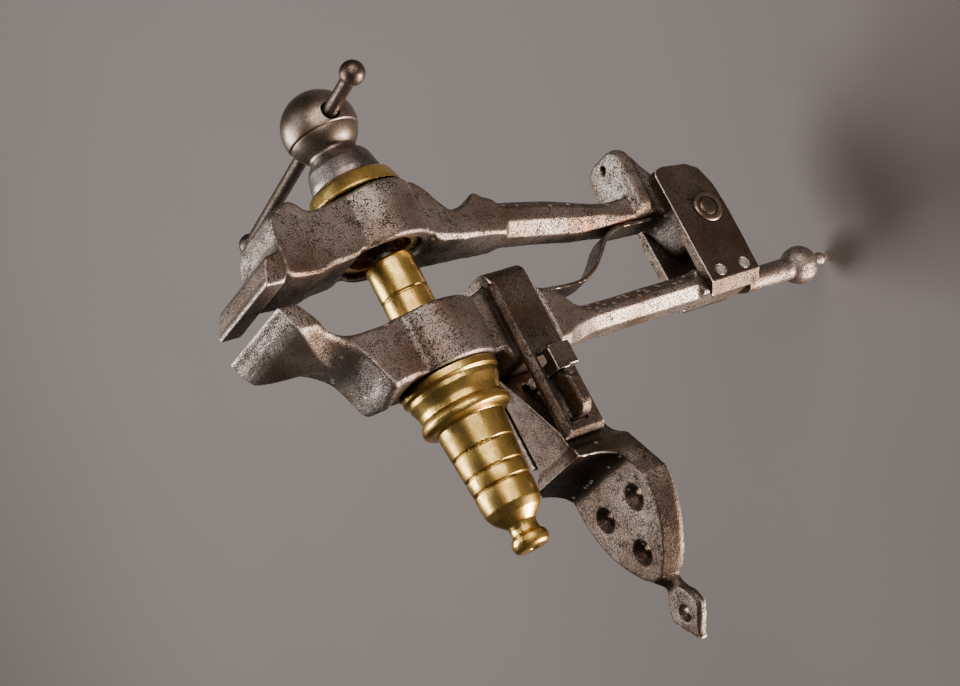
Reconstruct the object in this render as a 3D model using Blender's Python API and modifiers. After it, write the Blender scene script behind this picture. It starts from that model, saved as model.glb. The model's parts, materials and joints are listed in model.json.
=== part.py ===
"""Small forged leg vise: two forged legs, brass screw box, strap, wedge and leaf-shaped bench bracket.

Sizes are millimetres and turn into metres in the mesh helpers.  They are drawn about the screw:
X runs across the jaws, Y from the handle to the bench, Z up, and the screw's axis is the Y axis.
The part's own origin is the middle of the bench plate's underside, MOUNT_BACK behind and
SCREW_HEIGHT below that drawing origin.
"""
import math

import bmesh
import bpy
from mathutils import Matrix, Vector

for old in list(bpy.data.objects):
    bpy.data.objects.remove(old, do_unlink=True)

MM = 0.001
GAP = 0.3                    # space kept between touching pieces
MERGE = 0.00001              # metres, for welding the seams of turned and extruded pieces

# ---- overall sizes ---------------------------------------------------------------
SCREW_HEIGHT = 37.2          # screw axis above the bench
MOUNT_BACK = 58.0            # middle of the bench plate behind the drawing origin
JAW_WIDTH = 33.2
JAW_TOP = 49.5               # jaw lips above the screw axis
GRIP_Y = -22.0               # gripping plane of the fixed jaw
JAW_FACE = 6.0               # height of the gripping faces
REST_OPEN_DEG = 2.33         # how far the moving leg stands open as drawn

# ---- legs ------------------------------------------------------------------------
PIVOT_Y = -18.0
PIVOT_Z = -103.4
PIN_D = 6.0
EYE_R = 15.4                 # round boss of the fixed leg about the screw
MOVING_EYE_R = 14.4
FIXED_FRONT = -12.8          # front face of the fixed eye
FIXED_BACK = 4.8             # back face of the fixed eye
HORN_HALF = 10.4             # half width at the horn under each jaw
NECK_HALF = 10.2
BAR_HALF = 6.4               # half width of the bars below the eyes
BAR_CHAMFER = 3.2
RIDGE = (                    # bevels on the fixed jaw's back: z, half width of the flat left, fall
    (46.0, 16.0, 0.0), (43.5, 13.2, 1.6), (41.0, 9.5, 3.0), (37.0, 4.6, 3.4), (33.0, 0.6, 3.2),
    (25.0, 0.4, 2.6), (21.8, 0.4, 2.2), (16.4, 0.2, 0.6), (14.6, 0.0, 0.0))
BAR_FRONT = -2.5             # front and back faces of the fixed leg's bar
BAR_BACK = 5.8
MOVING_INNER = -29.0         # inner and outer faces of the moving eye, jaws shut
MOVING_OUTER = -46.6
ROCKER_R = 60.0              # rounding of that outer face, on which the washer rolls
LUG_TOP = -82.4              # lug below the moving leg's bar, jaws shut
LUG_FRONT = -44.4
LUG_HALF = 8.5
FOOT_Y = 4.2
FOOT_R = 3.5
FOOT_BALL_R = 5.9
FOOT_BALL_Z = -133.7
FOOT_TIP = -145.0

# ---- screw, box, washer and cross bar --------------------------------------------
THREAD_D = 9.0
BALL_D = 22.0
BALL_Y = -75.4
COLLAR_D = 20.8
WASHER_D = 27.4
WASHER_T = 5.2
WASHER_BACK = -51.1          # washer face that meets the moving leg, as drawn
TUBE_D = 14.0
TUBE_FRONT = -32.0
BODY_R = 9.9
FLANGE_R = 14.2
BOX_END = 57.0
BAR_D = 4.2
BAR_HOLE_D = 5.6
BAR_BALL_D = 7.2
BAR_SHORT = 30.9             # screw axis to the near ball
BAR_LONG = 72.5              # screw axis to the far ball
BAR_TILT_DEG = 7.0
BUSH_X = 11.4                # half width and half height of the moving eye's slot
BUSH_Z = 12.2
BUSH_WALL = 2.6
BUSH_LIFT = 1.6              # slot centre above the screw axis, jaws shut

# ---- strap, gib, wedge and bench bracket -----------------------------------------
STRAP_IN = 9.1               # half width inside the strap
STRAP_T = 3.0
STRAP_TOP = -18.4
STRAP_H = 13.3
STRAP_FRONT = -17.7
STRAP_END = 34.6
KEY_T = 4.2                  # thickness of gib and wedge
KEY_DROP = 4.3               # top of their slot below the strap's top edge
SLOT_DROP = 2.9              # the strap's own slot starts higher than the keys
STRAP_BEVEL = 1.5            # along the top and the end of each arm
SLOT_START = 9.6
SLOT_STOP = 30.6
GIB_SEAT = 12.4              # where the slot through the bracket starts
BRACKET_FRONT = 8.6
BLOCK_UNDER = -33.6          # underside of the block between the strap's arms
WALL_BACK = 40.5             # back of the bracket's block, above the leaf
LEAF_TOP = -31.2
LEAF_HALF = 20.0
NEAR_ROOT = 13.2             # the leaf springs narrower from the wall on its -X side, and flares faster
NEAR_FLARE = 0.57
LEAF_TIP = 77.5
LEAF_BEVEL = 2.8             # width of the sloping border of the leaf
LEAF_EDGE = 1.2              # upright edge left under that border
NECK_LEAF = 3.0
FINIAL_T = 2.6
FINIAL_HALF = 7.3
FINIAL_TIP = 96.5
HOLE_D = 3.8
SINK_D = 7.8
HOLE_SIDE = 8.1              # the front pair of screw holes, either side of the middle
HOLE_FRONT = 55.2
HOLE_BACK = 68.7

# ---- cheeks ----------------------------------------------------------------------
CHEEK_T = 3.6
CHEEK_TOP = -91.4
CHEEK_LOW = -110.2
CHEEK_FRONT = -34.0
CHEEK_BACK = {"left": 7.4, "right": 5.0}    # the two plates were cut by eye
CHEEK_BEVEL = {"left": 3.2, "right": 1.2}   # along their back edges
ROVE_R = 4.8
ROVE_T = 0.7
RIVET_D = 3.2

# ---- leaf spring -----------------------------------------------------------------
SPRING_T = 1.1
SPRING_HALF = 4.4
SPRING_RIVET_Z = -38.0
SPRING_RIVET_D = 2.4

# ---- sizes that follow ------------------------------------------------------------
UNDER = -SCREW_HEIGHT
STRAP_OUT = STRAP_IN + STRAP_T
STRAP_LOW = STRAP_TOP - STRAP_H
SLOT_TOP = STRAP_TOP - KEY_DROP
SLOT_LOW = SLOT_TOP - KEY_T - 2 * GAP
KEY_MIDDLE = (SLOT_TOP + SLOT_LOW) / 2
WASHER_FRONT = WASHER_BACK - WASHER_T
COLLAR_BACK = WASHER_FRONT - GAP
CHEEK_IN = BAR_HALF + GAP
CHEEK_OUT = CHEEK_IN + CHEEK_T
PIN_HOLE_R = PIN_D / 2 + GAP
SHUT = GRIP_Y - GAP          # gripping plane of the moving jaw with the jaws shut
SWING = Matrix.Rotation(math.radians(REST_OPEN_DEG), 4, "X")
PIVOT = Vector((0.0, PIVOT_Y, PIVOT_Z))

PARTS = bpy.data.collections.new("leg_vise")
CUTTERS = bpy.data.collections.new("leg_vise_cutters")
for group in (PARTS, CUTTERS):
    bpy.context.scene.collection.children.link(group)

FINISH = {
    "forged_steel": ((0.16, 0.14, 0.13), 1.0, 0.55),
    "turned_steel": ((0.22, 0.20, 0.19), 1.0, 0.45),
    "yellow_brass": ((0.62, 0.44, 0.16), 1.0, 0.35),
}


def put(v):
    """Drawing frame in millimetres to part frame in metres."""
    return Vector((v[0], v[1] - MOUNT_BACK, v[2] + SCREW_HEIGHT)) * MM


def opened(p):
    """A point of the moving leg, drawn with the jaws shut, where it stands at rest."""
    return PIVOT + SWING @ (Vector(p) - PIVOT)


# ================================ helpers ==========================================

def material(name, finish):
    """The piece's own material in one of the three finishes."""
    colour, metallic, rough = FINISH[finish]
    mat = bpy.data.materials.new(name + "_" + finish)
    mat.use_nodes = True
    shader = mat.node_tree.nodes["Principled BSDF"]
    shader.inputs["Base Color"].default_value = (*colour, 1.0)
    shader.inputs["Metallic"].default_value = metallic
    shader.inputs["Roughness"].default_value = rough
    return mat


def piece(name, mesh, finish, origin=(0.0, 0.0, 0.0), turn=None):
    """Put a mesh, given in metres about its origin, into the model as one named solid."""
    obj = bpy.data.objects.new(name, mesh)
    obj.location = put(origin)
    if turn is not None:
        obj.rotation_euler = turn.to_euler()
    if finish is None:
        obj.hide_render = True
        obj.display_type = "WIRE"
        CUTTERS.objects.link(obj)
    else:
        mesh.materials.append(material(name, finish))
        PARTS.objects.link(obj)
    return obj


def closed_mesh(name, bm):
    """Mesh of a closed body with its faces turned outward."""
    bmesh.ops.recalc_face_normals(bm, faces=bm.faces)
    if bm.calc_volume(signed=True) < 0:
        bmesh.ops.reverse_faces(bm, faces=bm.faces)
    mesh = bpy.data.meshes.new(name)
    bm.to_mesh(mesh)
    bm.free()
    return mesh


def turned(name, profile, finish, axis="Y", origin=(0.0, 0.0, 0.0), steps=24, turn=None):
    """Turned piece: (distance along axis, radius) points swept round by a Screw modifier.

    The profile runs from the far end to the near end, and both ends close on the axis.
    """
    run = [(profile[0][0], 0.0)] + list(profile) + [(profile[-1][0], 0.0)]
    bm = bmesh.new()
    row = []
    for s, r in run:
        place = {"X": (s, 0.0, r), "Y": (r, s, 0.0), "Z": (r, 0.0, s)}[axis]
        row.append(bm.verts.new(Vector(place) * MM))
    for a, b in zip(row, row[1:]):
        bm.edges.new((a, b))
    mesh = bpy.data.meshes.new(name)
    bm.to_mesh(mesh)
    bm.free()
    obj = piece(name, mesh, finish, origin, turn)
    screw = obj.modifiers.new("turn", "SCREW")
    screw.axis = axis
    screw.steps = steps
    screw.render_steps = steps
    screw.use_merge_vertices = True
    screw.merge_threshold = MERGE
    return obj


def extruded(name, outlines, low, high, axis, finish, origin=(0.0, 0.0, 0.0), place=None):
    """Flat outline, with any holes, filled as a 2D curve and given its thickness along an axis."""
    curve = bpy.data.curves.new(name, "CURVE")
    curve.dimensions = "2D"
    curve.fill_mode = "BOTH"
    curve.extrude = (high - low) / 2 * MM
    for outline in outlines:
        spline = curve.splines.new("POLY")
        spline.points.add(len(outline) - 1)
        for point, (a, b) in zip(spline.points, outline):
            point.co = (a * MM, b * MM, 0.0, 1.0)
        spline.use_cyclic_u = True
    flat = bpy.data.objects.new(name + "_outline", curve)
    CUTTERS.objects.link(flat)
    mesh = bpy.data.meshes.new_from_object(flat.evaluated_get(bpy.context.evaluated_depsgraph_get()))
    bpy.data.objects.remove(flat, do_unlink=True)
    bm = bmesh.new()
    bm.from_mesh(mesh)
    bmesh.ops.remove_doubles(bm, verts=bm.verts, dist=MERGE)
    middle = (low + high) / 2
    base = put(origin)
    for v in bm.verts:
        a, b, h = v.co / MM
        h += middle
        p = {"X": (h, a, b), "Y": (a, h, b), "Z": (a, b, h)}[axis]
        v.co = put(place(p) if place else p) - base
    return piece(name, closed_mesh(name, bm), finish, origin)


def block(name, corner_a, corner_b, finish):
    """Rectangular block between two corners."""
    a, b = put(corner_a), put(corner_b)
    bm = bmesh.new()
    bmesh.ops.create_cube(bm, size=1.0)
    for v in bm.verts:
        v.co = Vector([lo + (hi - lo) * (c + 0.5) for lo, hi, c in zip(a, b, v.co)])
    mesh = closed_mesh(name, bm)
    obj = piece(name, mesh, finish)
    obj.location = (0.0, 0.0, 0.0)
    return obj


def drill(name, radius, low, high, axis, at, steps=20, place=None):
    """Round cutter between two distances along an axis through the point at."""
    depth = high - low
    bm = bmesh.new()
    bmesh.ops.create_cone(bm, cap_ends=True, segments=steps, radius1=radius, radius2=radius, depth=depth)
    for v in bm.verts:
        u, w, h = v.co
        h += (low + high) / 2
        p = {"X": (h, u + at[0], w + at[1]), "Y": (w + at[0], h, u + at[1]), "Z": (u + at[0], w + at[1], h)}[axis]
        v.co = put(place(p) if place else p)
    obj = piece(name, closed_mesh(name, bm), None)
    obj.location = (0.0, 0.0, 0.0)
    return obj


def cut(host, tool, operation="DIFFERENCE"):
    """Boolean between a piece and a cutter or an addition."""
    mod = host.modifiers.new(tool.name, "BOOLEAN")
    mod.operation = operation
    mod.solver = "EXACT"
    mod.object = tool


def chamfer(host, width):
    """Small worn chamfer on the sharp edges of a plate."""
    mod = host.modifiers.new("worn edges", "BEVEL")
    mod.width = width * MM
    mod.segments = 1
    mod.limit_method = "ANGLE"
    mod.angle_limit = math.radians(40.0)


def section(z, front, back, half, corner, round_off, steps=3):
    """Level section of a leg: a rectangle whose corners are cut flat (0) or rounded (1)."""
    depth = (back - front) / 2
    corner = min(corner, half, depth)
    ring = []
    for quarter, (sx, sy) in enumerate(((1, 1), (-1, 1), (-1, -1), (1, -1))):
        for k in range(steps + 1):
            angle = math.radians(90.0 * quarter + 90.0 * k / steps)
            t = k / steps if quarter % 2 == 0 else 1 - k / steps
            flat = ((1 - t) * sx, t * sy)
            arc = (math.cos(angle), math.sin(angle))
            ux = flat[0] + (arc[0] - flat[0]) * round_off
            uy = flat[1] + (arc[1] - flat[1]) * round_off
            ring.append((sx * (half - corner) + corner * ux,
                         (front + back) / 2 + sy * (depth - corner) + corner * uy, z))
    return ring


def ridge_at(z):
    """Half width of the flat between the bevels on the fixed jaw's back, and how far they fall."""
    for (top, *upper), (bottom, *lower) in zip(RIDGE, RIDGE[1:]):
        if top >= z >= bottom:
            t = (top - z) / (top - bottom)
            return [a + (b - a) * t for a, b in zip(upper, lower)]
    return [0.0, 0.0]


def ridged(ring):
    """Section whose back falls away either side of a ridge."""
    z = ring[0][2]
    flat, fall = ridge_at(z)
    front, back = min(p[1] for p in ring), max(p[1] for p in ring)
    corner = len(ring) // 4
    lowered = [(x, y - fall if y > (front + back) / 2 else y, z) for x, y, z in ring]
    return lowered[:corner] + [(flat, back, z), (-flat, back, z)] + lowered[corner:]


def between(rows, step):
    """Extra stations on monotone cubics between the given ones, about step apart."""
    def slope(i, j):
        if i == 0 or i == len(rows) - 1:
            return 0.0
        before = (rows[i][j] - rows[i - 1][j]) / (rows[i][0] - rows[i - 1][0])
        after = (rows[i + 1][j] - rows[i][j]) / (rows[i + 1][0] - rows[i][0])
        return 0.0 if before * after <= 0 else 2 * before * after / (before + after)

    out = []
    for i in range(len(rows) - 1):
        reach = rows[i + 1][0] - rows[i][0]
        parts = max(1, round(abs(reach) / step))
        for k in range(parts):
            t = k / parts
            row = [rows[i][0] + t * reach]
            for j in range(1, len(rows[0])):
                p0, p1 = rows[i][j], rows[i + 1][j]
                m0, m1 = slope(i, j) * reach, slope(i + 1, j) * reach
                row.append((2 * t**3 - 3 * t**2 + 1) * p0 + (t**3 - 2 * t**2 + t) * m0
                           + (3 * t**2 - 2 * t**3) * p1 + (t**3 - t**2) * m1)
            out.append(row)
    out.append(list(rows[-1]))
    return out


def lofted(name, rings, finish, origin=(0.0, 0.0, 0.0), place=None):
    """Body through unlike sections, each a ring with the same number of points."""
    base = put(origin)
    bm = bmesh.new()
    rows = [[bm.verts.new(put(place(p) if place else p) - base) for p in ring] for ring in rings]
    count = len(rows[0])
    for low, high in zip(rows, rows[1:]):
        for i in range(count):
            j = (i + 1) % count
            bm.faces.new((low[i], low[j], high[j], high[i]))
    bm.faces.new(rows[0][::-1])
    bm.faces.new(rows[-1])
    bmesh.ops.remove_doubles(bm, verts=bm.verts, dist=MERGE)
    return piece(name, closed_mesh(name, bm), finish, origin)


def ball(centre, radius, start, stop, count):
    """Profile points on a ball between two distances along its axis."""
    first = math.acos(max(-1.0, min(1.0, (start - centre) / radius)))
    last = math.acos(max(-1.0, min(1.0, (stop - centre) / radius)))
    points = []
    for k in range(count + 1):
        angle = first + (last - first) * k / count
        points.append((centre + radius * math.cos(angle), radius * math.sin(angle)))
    return points


def stadium(half_x, half_z, lift, steps=8):
    """Upright slot outline with round ends."""
    ring = []
    for k in range(2 * steps + 2):
        upper = k <= steps
        angle = math.pi * (k if upper else k - 1) / steps
        rise = (half_z - half_x) * (1 if upper else -1)
        ring.append((half_x * math.cos(angle), lift + rise + half_x * math.sin(angle)))
    return ring


def eye_half(z, radius):
    """Half width of a leg's round boss at height z from the screw axis."""
    return max(NECK_HALF, math.sqrt(max(0.0, radius**2 - z**2)))


# ================================ the two legs ======================================

def fixed_leg():
    """Jaw, horn, eye, strap seat, bar, cheek seat and foot, forged in one piece."""
    jaw = JAW_WIDTH / 2
    seat_half = STRAP_IN - GAP
    seat_front = STRAP_FRONT + STRAP_T + GAP
    seat_back = BRACKET_FRONT - GAP
    face_low = JAW_TOP - JAW_FACE
    rows = [                 # z, front, back, half width, corner, roundness
        (JAW_TOP, GRIP_Y, GRIP_Y + 1.0, jaw, 0.3, 0),
        (JAW_TOP - 1.5, GRIP_Y, GRIP_Y + 4.6, jaw, 0.5, 0),
        (JAW_TOP - 3.5, GRIP_Y, GRIP_Y + 7.8, jaw, 0.7, 0),
        (face_low, GRIP_Y, GRIP_Y + 9.6, jaw, 0.8, 0),
        (face_low - 2.5, GRIP_Y + 3.0, GRIP_Y + 11.1, jaw - 0.2, 1.0, 0),
        (38.8, -17.0, -9.9, 15.2, 1.0, 0),
        (36.5, -15.0, -8.8, 13.0, 1.2, 0),
        (33.0, -13.0, -6.8, 11.4, 1.2, 0),
        (28.0, -11.7, -2.6, 10.6, 1.2, 0),
        (25.0, -11.5, 3.0, HORN_HALF, 1.0, 0),
        (23.2, -11.5, 7.4, HORN_HALF, 0.9, 0),
        (21.8, -11.6, 8.1, HORN_HALF, 0.8, 0),
        (19.8, -11.7, 6.8, HORN_HALF - 0.2, 1.0, 0),
        (16.4, -12.1, FIXED_BACK + 1.0, NECK_HALF, 1.4, 0),
        (14.6, -12.4, FIXED_BACK, NECK_HALF, 1.4, 0),
    ]
    for share in (0.75, 0.58, 0.36, 0.0, -0.36, -0.58):
        z = EYE_R * share
        rows.append((z, FIXED_FRONT, FIXED_BACK, eye_half(z, EYE_R), 1.4, 0))
    rows += [
        (-12.0, FIXED_FRONT, FIXED_BACK, NECK_HALF, 1.4, 0),
        (-14.8, FIXED_FRONT - 0.5, FIXED_BACK, NECK_HALF, 1.2, 0),
        (-16.2, FIXED_FRONT - 0.9, FIXED_BACK + 2.4, NECK_HALF - 0.3, 1.2, 0),
        (STRAP_TOP + GAP, seat_front, seat_back, seat_half, 1.0, 0),
        (STRAP_LOW - GAP, seat_front, seat_back, seat_half, 1.0, 0),
        (STRAP_LOW - 2.2, -10.2, seat_back, 10.4, 1.6, 0),
        (STRAP_LOW - 5.3, -9.6, seat_back, 10.0, 2.2, 0),
        (STRAP_LOW - 9.3, -9.0, 7.6, 8.8, BAR_CHAMFER, 0),
        (STRAP_LOW - 14.3, -4.6, 6.6, 7.4, BAR_CHAMFER, 0),
        (STRAP_LOW - 19.3, BAR_FRONT, BAR_BACK, BAR_HALF + 0.2, BAR_CHAMFER, 0),
        (-70.0, BAR_FRONT, BAR_BACK, BAR_HALF, BAR_CHAMFER, 0),
        (CHEEK_TOP + 1.8, BAR_FRONT, BAR_BACK, BAR_HALF, BAR_CHAMFER, 0),
        (CHEEK_TOP + 0.6, BAR_FRONT, BAR_BACK, BAR_HALF, 1.0, 0),
        (CHEEK_LOW, BAR_FRONT, BAR_BACK, BAR_HALF, 1.0, 0),
        (CHEEK_LOW - 0.8, FOOT_Y - FOOT_R, FOOT_Y + FOOT_R, FOOT_R, FOOT_R, 1),
        (FOOT_BALL_Z + FOOT_BALL_R + 0.8, FOOT_Y - FOOT_R, FOOT_Y + FOOT_R, FOOT_R, FOOT_R, 1),
    ]
    for s, r in ball(FOOT_BALL_Z, FOOT_BALL_R, FOOT_BALL_Z + 4.8, FOOT_BALL_Z - 5.6, 6):
        rows.append((s, FOOT_Y - r, FOOT_Y + r, r, r, 1))
    for z, r in ((FOOT_BALL_Z - FOOT_BALL_R, 1.5), (FOOT_TIP + 2.5, 2.1), (FOOT_TIP, 0.8)):
        rows.append((z, FOOT_Y - r, FOOT_Y + r, r, r, 1))
    leg = lofted("fixed_leg", [ridged(section(*row)) for row in between(rows, 4.0)], "forged_steel")
    cut(leg, drill("fixed_eye_bore", TUBE_D / 2 + GAP, -20, 12, "Y", (0, 0), 32))
    return leg


def rocker(z):
    """Outer face of the moving eye at height z, rounded about X."""
    return MOVING_OUTER + ROCKER_R - math.sqrt(ROCKER_R**2 - z**2)


def moving_leg():
    """Jaw, horn, eye, bar, lug and knuckle in one forging, swung open to its resting angle."""
    jaw = JAW_WIDTH / 2
    face_low = JAW_TOP - JAW_FACE
    knuckle, thin_back = 8.2, -21.7
    rows = [                 # z, front, back, half width, corner, roundness
        (JAW_TOP, SHUT - 1.0, SHUT, jaw, 0.3, 0),
        (JAW_TOP - 1.5, SHUT - 4.6, SHUT, jaw, 0.5, 0),
        (JAW_TOP - 3.0, SHUT - 7.9, SHUT, jaw, 0.7, 0),
        (face_low, SHUT - 8.8, SHUT, jaw, 0.8, 0),
        (face_low - 1.9, SHUT - 9.4, SHUT - 2.6, jaw - 0.3, 1.0, 0),
        (face_low - 3.5, SHUT - 10.9, SHUT - 4.0, jaw - 1.6, 1.0, 0),
        (38.6, -36.0, -26.0, 12.8, 1.0, 0),
        (37.6, -40.6, -25.6, 11.8, 1.0, 0),
        (36.6, -43.4, -25.4, 11.2, 1.0, 0),
        (33.0, -46.0, -25.1, 10.7, 1.0, 0),
        (28.4, -47.4, -25.1, HORN_HALF, 0.8, 0),
        (26.6, -46.4, -25.4, HORN_HALF, 0.8, 0),
        (24.6, -44.2, -26.0, HORN_HALF - 0.1, 1.0, 0),
        (22.0, -43.8, -26.6, HORN_HALF - 0.2, 1.2, 0),
        (18.5, rocker(14.0) + 0.6, -27.0, NECK_HALF, 1.4, 0),
        (14.0, rocker(14.0), -28.0, NECK_HALF, 1.4, 0),
    ]
    for share in (0.74, 0.58, 0.36, 0.0, -0.36, -0.58):
        z = MOVING_EYE_R * share
        rows.append((z, rocker(z), MOVING_INNER, eye_half(z, MOVING_EYE_R), 1.4, 0))
    rows += [
        (-11.5, rocker(11.5), -27.9, NECK_HALF, 1.4, 0),
        (-14.0, rocker(14.0) + 0.4, -27.0, NECK_HALF - 0.6, 1.6, 0),
        (-17.5, -39.4, -26.7, 9.0, 1.8, 0),
        (-21.0, -36.0, -26.5, 8.4, 2.0, 0),
        (-27.4, -37.4, -26.3, 7.8, 1.2, 0),
        (-31.0, -39.8, -26.1, 7.4, 1.0, 0),
        (-33.4, -38.2, -25.9, 7.1, 1.0, 0),
        (-36.0, -37.3, -25.7, 6.9, 1.2, 0),
        (-38.4, -36.9, -25.4, BAR_HALF + 0.3, BAR_CHAMFER + 0.4, 0),
        (-53.0, -34.6, -23.4, BAR_HALF, BAR_CHAMFER + 0.4, 0),
        (-62.7, -32.2, -22.0, BAR_HALF, BAR_CHAMFER + 0.2, 0),
        (-70.0, -29.8, thin_back, BAR_HALF, BAR_CHAMFER - 0.4, 0),
        (-76.0, -28.6, thin_back, BAR_HALF, 1.2, 0),
        (LUG_TOP + 1.0, -28.6, thin_back, BAR_HALF, 0.8, 0),
        (LUG_TOP - 0.4, LUG_FRONT + 2.0, thin_back, LUG_HALF - 0.3, 1.2, 0),
        (LUG_TOP - 2.6, LUG_FRONT, thin_back, LUG_HALF, 1.6, 0),
        (LUG_TOP - 4.8, LUG_FRONT + 1.0, thin_back, LUG_HALF - 0.3, 1.4, 0),
        (LUG_TOP - 6.0, LUG_FRONT + 2.2, thin_back, BAR_HALF, 1.0, 0),
        (CHEEK_TOP - 1.0, -35.4, -19.8, BAR_HALF, 0.8, 0),
        (CHEEK_TOP - 4.0, -31.6, -14.5, BAR_HALF, 0.6, 0),
        (-98.0, -28.6, -10.8, BAR_HALF, 0.6, 0),
        (PIVOT_Z, PIVOT_Y - knuckle - 0.4, PIVOT_Y + knuckle, BAR_HALF, 0.6, 0),
        (PIVOT_Z - 4.0, PIVOT_Y - 7.2, PIVOT_Y + 7.2, BAR_HALF, 0.6, 0),
        (PIVOT_Z - 6.8, PIVOT_Y - 4.4, PIVOT_Y + 4.4, BAR_HALF, 0.6, 0),
        (PIVOT_Z - 7.9, PIVOT_Y - 1.6, PIVOT_Y + 1.6, BAR_HALF, 0.6, 0),
    ]
    leg = lofted("moving_leg", [section(*row) for row in between(rows, 4.0)], "forged_steel", PIVOT, opened)
    cut(leg, extruded("moving_eye_slot", [stadium(BUSH_X, BUSH_Z, BUSH_LIFT)], -60, -16, "Y", None, place=opened))
    cut(leg, drill("moving_pin_hole", PIN_HOLE_R, -12, 12, "X", (PIVOT_Y, PIVOT_Z)))
    lug_hole_r, lug_hole_y, lug_hole_deep = 1.4, -40.3, 5.0
    cut(leg, drill("lug_hole", lug_hole_r, LUG_TOP - lug_hole_deep, LUG_TOP + 3, "Z", (0, lug_hole_y), 14, opened))
    return leg


def eye_bush():
    """Brass lining of the moving eye, an upright slot so that the leg can swing about the screw."""
    outer_x, outer_z = BUSH_X - GAP, BUSH_Z - GAP
    bush = extruded("eye_bush", [stadium(outer_x, outer_z, BUSH_LIFT),
                                 stadium(outer_x - BUSH_WALL, outer_z - BUSH_WALL, BUSH_LIFT)],
                    MOVING_OUTER + 3.0, MOVING_INNER - 0.4, "Y", "yellow_brass", PIVOT, opened)
    return bush


# ================================ screw, box and washer ==============================

def screw_box(leg):
    """Turned brass nut with a closed finial end, kept from turning by a small steel key."""
    bore_r = THREAD_D / 2 + GAP
    bore_end, bore_point = 39.0, 43.0
    tube_r = TUBE_D / 2
    seat = FIXED_BACK + GAP
    profile = [(BOX_END, 4.3), (BOX_END - 0.8, 5.1), (BOX_END - 2.2, 5.4), (BOX_END - 3.6, 5.1),
               (BOX_END - 4.6, 4.1), (BOX_END - 6.0, 3.9), (BOX_END - 7.6, 4.2), (BOX_END - 8.6, 5.4),
               (46.8, 7.0), (44.5, 8.1), (41.5, 8.4)]
    for groove, r in ((38.2, BODY_R - 1.4), (33.7, BODY_R - 1.1), (27.0, BODY_R - 0.6)):
        profile += [(groove + 0.5, r), (groove, r - 0.5), (groove - 0.4, r)]
    profile += [(18.8, BODY_R), (18.4, 11.6), (17.6, 12.9), (16.3, 13.2), (14.9, 12.7), (14.2, 12.0),
                (12.4, 12.1), (10.6, 12.7), (9.4, 13.2), (7.9, 13.3), (7.4, FLANGE_R), (seat, FLANGE_R),
                (seat, tube_r), (TUBE_FRONT + 5.0, tube_r), (TUBE_FRONT + 4.6, tube_r - 0.5),
                (TUBE_FRONT + 3.8, tube_r - 0.5), (TUBE_FRONT + 3.4, tube_r), (TUBE_FRONT + 0.6, tube_r),
                (TUBE_FRONT, tube_r - 0.6)]
    box = turned("screw_box", profile, "yellow_brass", steps=32)
    bore = turned("box_bore", [(bore_point, 0.5), (bore_end, bore_r), (TUBE_FRONT - 5, bore_r)], None, steps=24)
    bore.rotation_euler.y = math.radians(4.0)
    cut(box, bore)
    cut(box, drill("finial_hole", 1.2, BOX_END - 6, BOX_END + 3, "Y", (0, 0), 12))
    key_half, key_out, key_in = 1.1, tube_r + 1.6, tube_r - 1.1
    key_start, key_stop = -4.0, FIXED_BACK - 0.4
    for host, name, end in ((leg, "key_seat_in_leg", FIXED_BACK + 12), (box, "key_seat_in_box", FIXED_BACK - 0.2)):
        cut(host, block(name, (-key_half - GAP, key_start - GAP, key_in - GAP),
                        (key_half + GAP, end, key_out + GAP), None))
    block("box_key", (-key_half, key_start, key_in), (key_half, key_stop, key_out), "turned_steel")


def screw():
    """Steel screw: ball head with a cross hole, waist, flared collar and plain-drawn thread."""
    thread_r, collar_r = THREAD_D / 2, COLLAR_D / 2
    thread_end = 25.6
    profile = [(thread_end, thread_r - 1.2), (thread_end - 1.0, thread_r), (COLLAR_BACK, thread_r),
               (COLLAR_BACK, collar_r - 0.5), (COLLAR_BACK - 0.4, collar_r), (COLLAR_BACK - 2.0, collar_r),
               (COLLAR_BACK - 4.2, 9.9), (-63.6, 9.0), (-65.2, 7.6), (-66.6, 7.2)]
    profile += ball(BALL_Y, BALL_D / 2, -67.4, BALL_Y - BALL_D / 2 + 0.05, 10)
    body = turned("screw", profile, "turned_steel", steps=28)
    hole = turned("bar_hole", [(16, BAR_HOLE_D / 2), (-16, BAR_HOLE_D / 2)], None, "X", (0, BALL_Y, 0), 20, tilt)
    cut(body, hole)


def thrust_washer():
    """Brass washer, wider towards the moving leg."""
    rear_r, front_r = WASHER_D / 2, WASHER_D / 2 - 1.4
    washer = turned("thrust_washer", [(0.0, rear_r - 0.4), (-0.5, rear_r), (0.7 - WASHER_T, front_r + 0.2),
                                      (-WASHER_T, front_r - 0.5)], "yellow_brass", origin=(0, WASHER_BACK, 0),
                    steps=32)
    cut(washer, drill("washer_bore", THREAD_D / 2 + GAP, WASHER_FRONT - 3, WASHER_BACK + 3, "Y", (0, 0), 24))


def cross_bar():
    """Sliding bar with one forged ball, and a second ball riveted on its far end."""
    bar_r, ball_r = BAR_D / 2, BAR_BALL_D / 2
    tenon_r, tenon_past = 1.3, 1.6
    shoulder = BAR_LONG - ball_r - GAP
    origin = (0, BALL_Y, 0)
    neck = -BAR_SHORT + math.sqrt(ball_r**2 - bar_r**2)
    profile = [(BAR_LONG + tenon_past, tenon_r), (shoulder, tenon_r), (shoulder, bar_r)]
    profile += ball(-BAR_SHORT, ball_r, neck, -BAR_SHORT - ball_r + 0.03, 7)
    turned("cross_bar", profile, "turned_steel", "X", origin, 16, tilt)
    end = turned("cross_bar_end", ball(BAR_LONG, ball_r, BAR_LONG + ball_r - 0.03, BAR_LONG - ball_r + 0.25, 8),
                 "turned_steel", "X", origin, 16, tilt)
    cut(end, turned("bar_end_bore", [(BAR_LONG + tenon_past + GAP, tenon_r + GAP), (shoulder - 3, tenon_r + GAP)],
                    None, "X", origin, 14, tilt))


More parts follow.
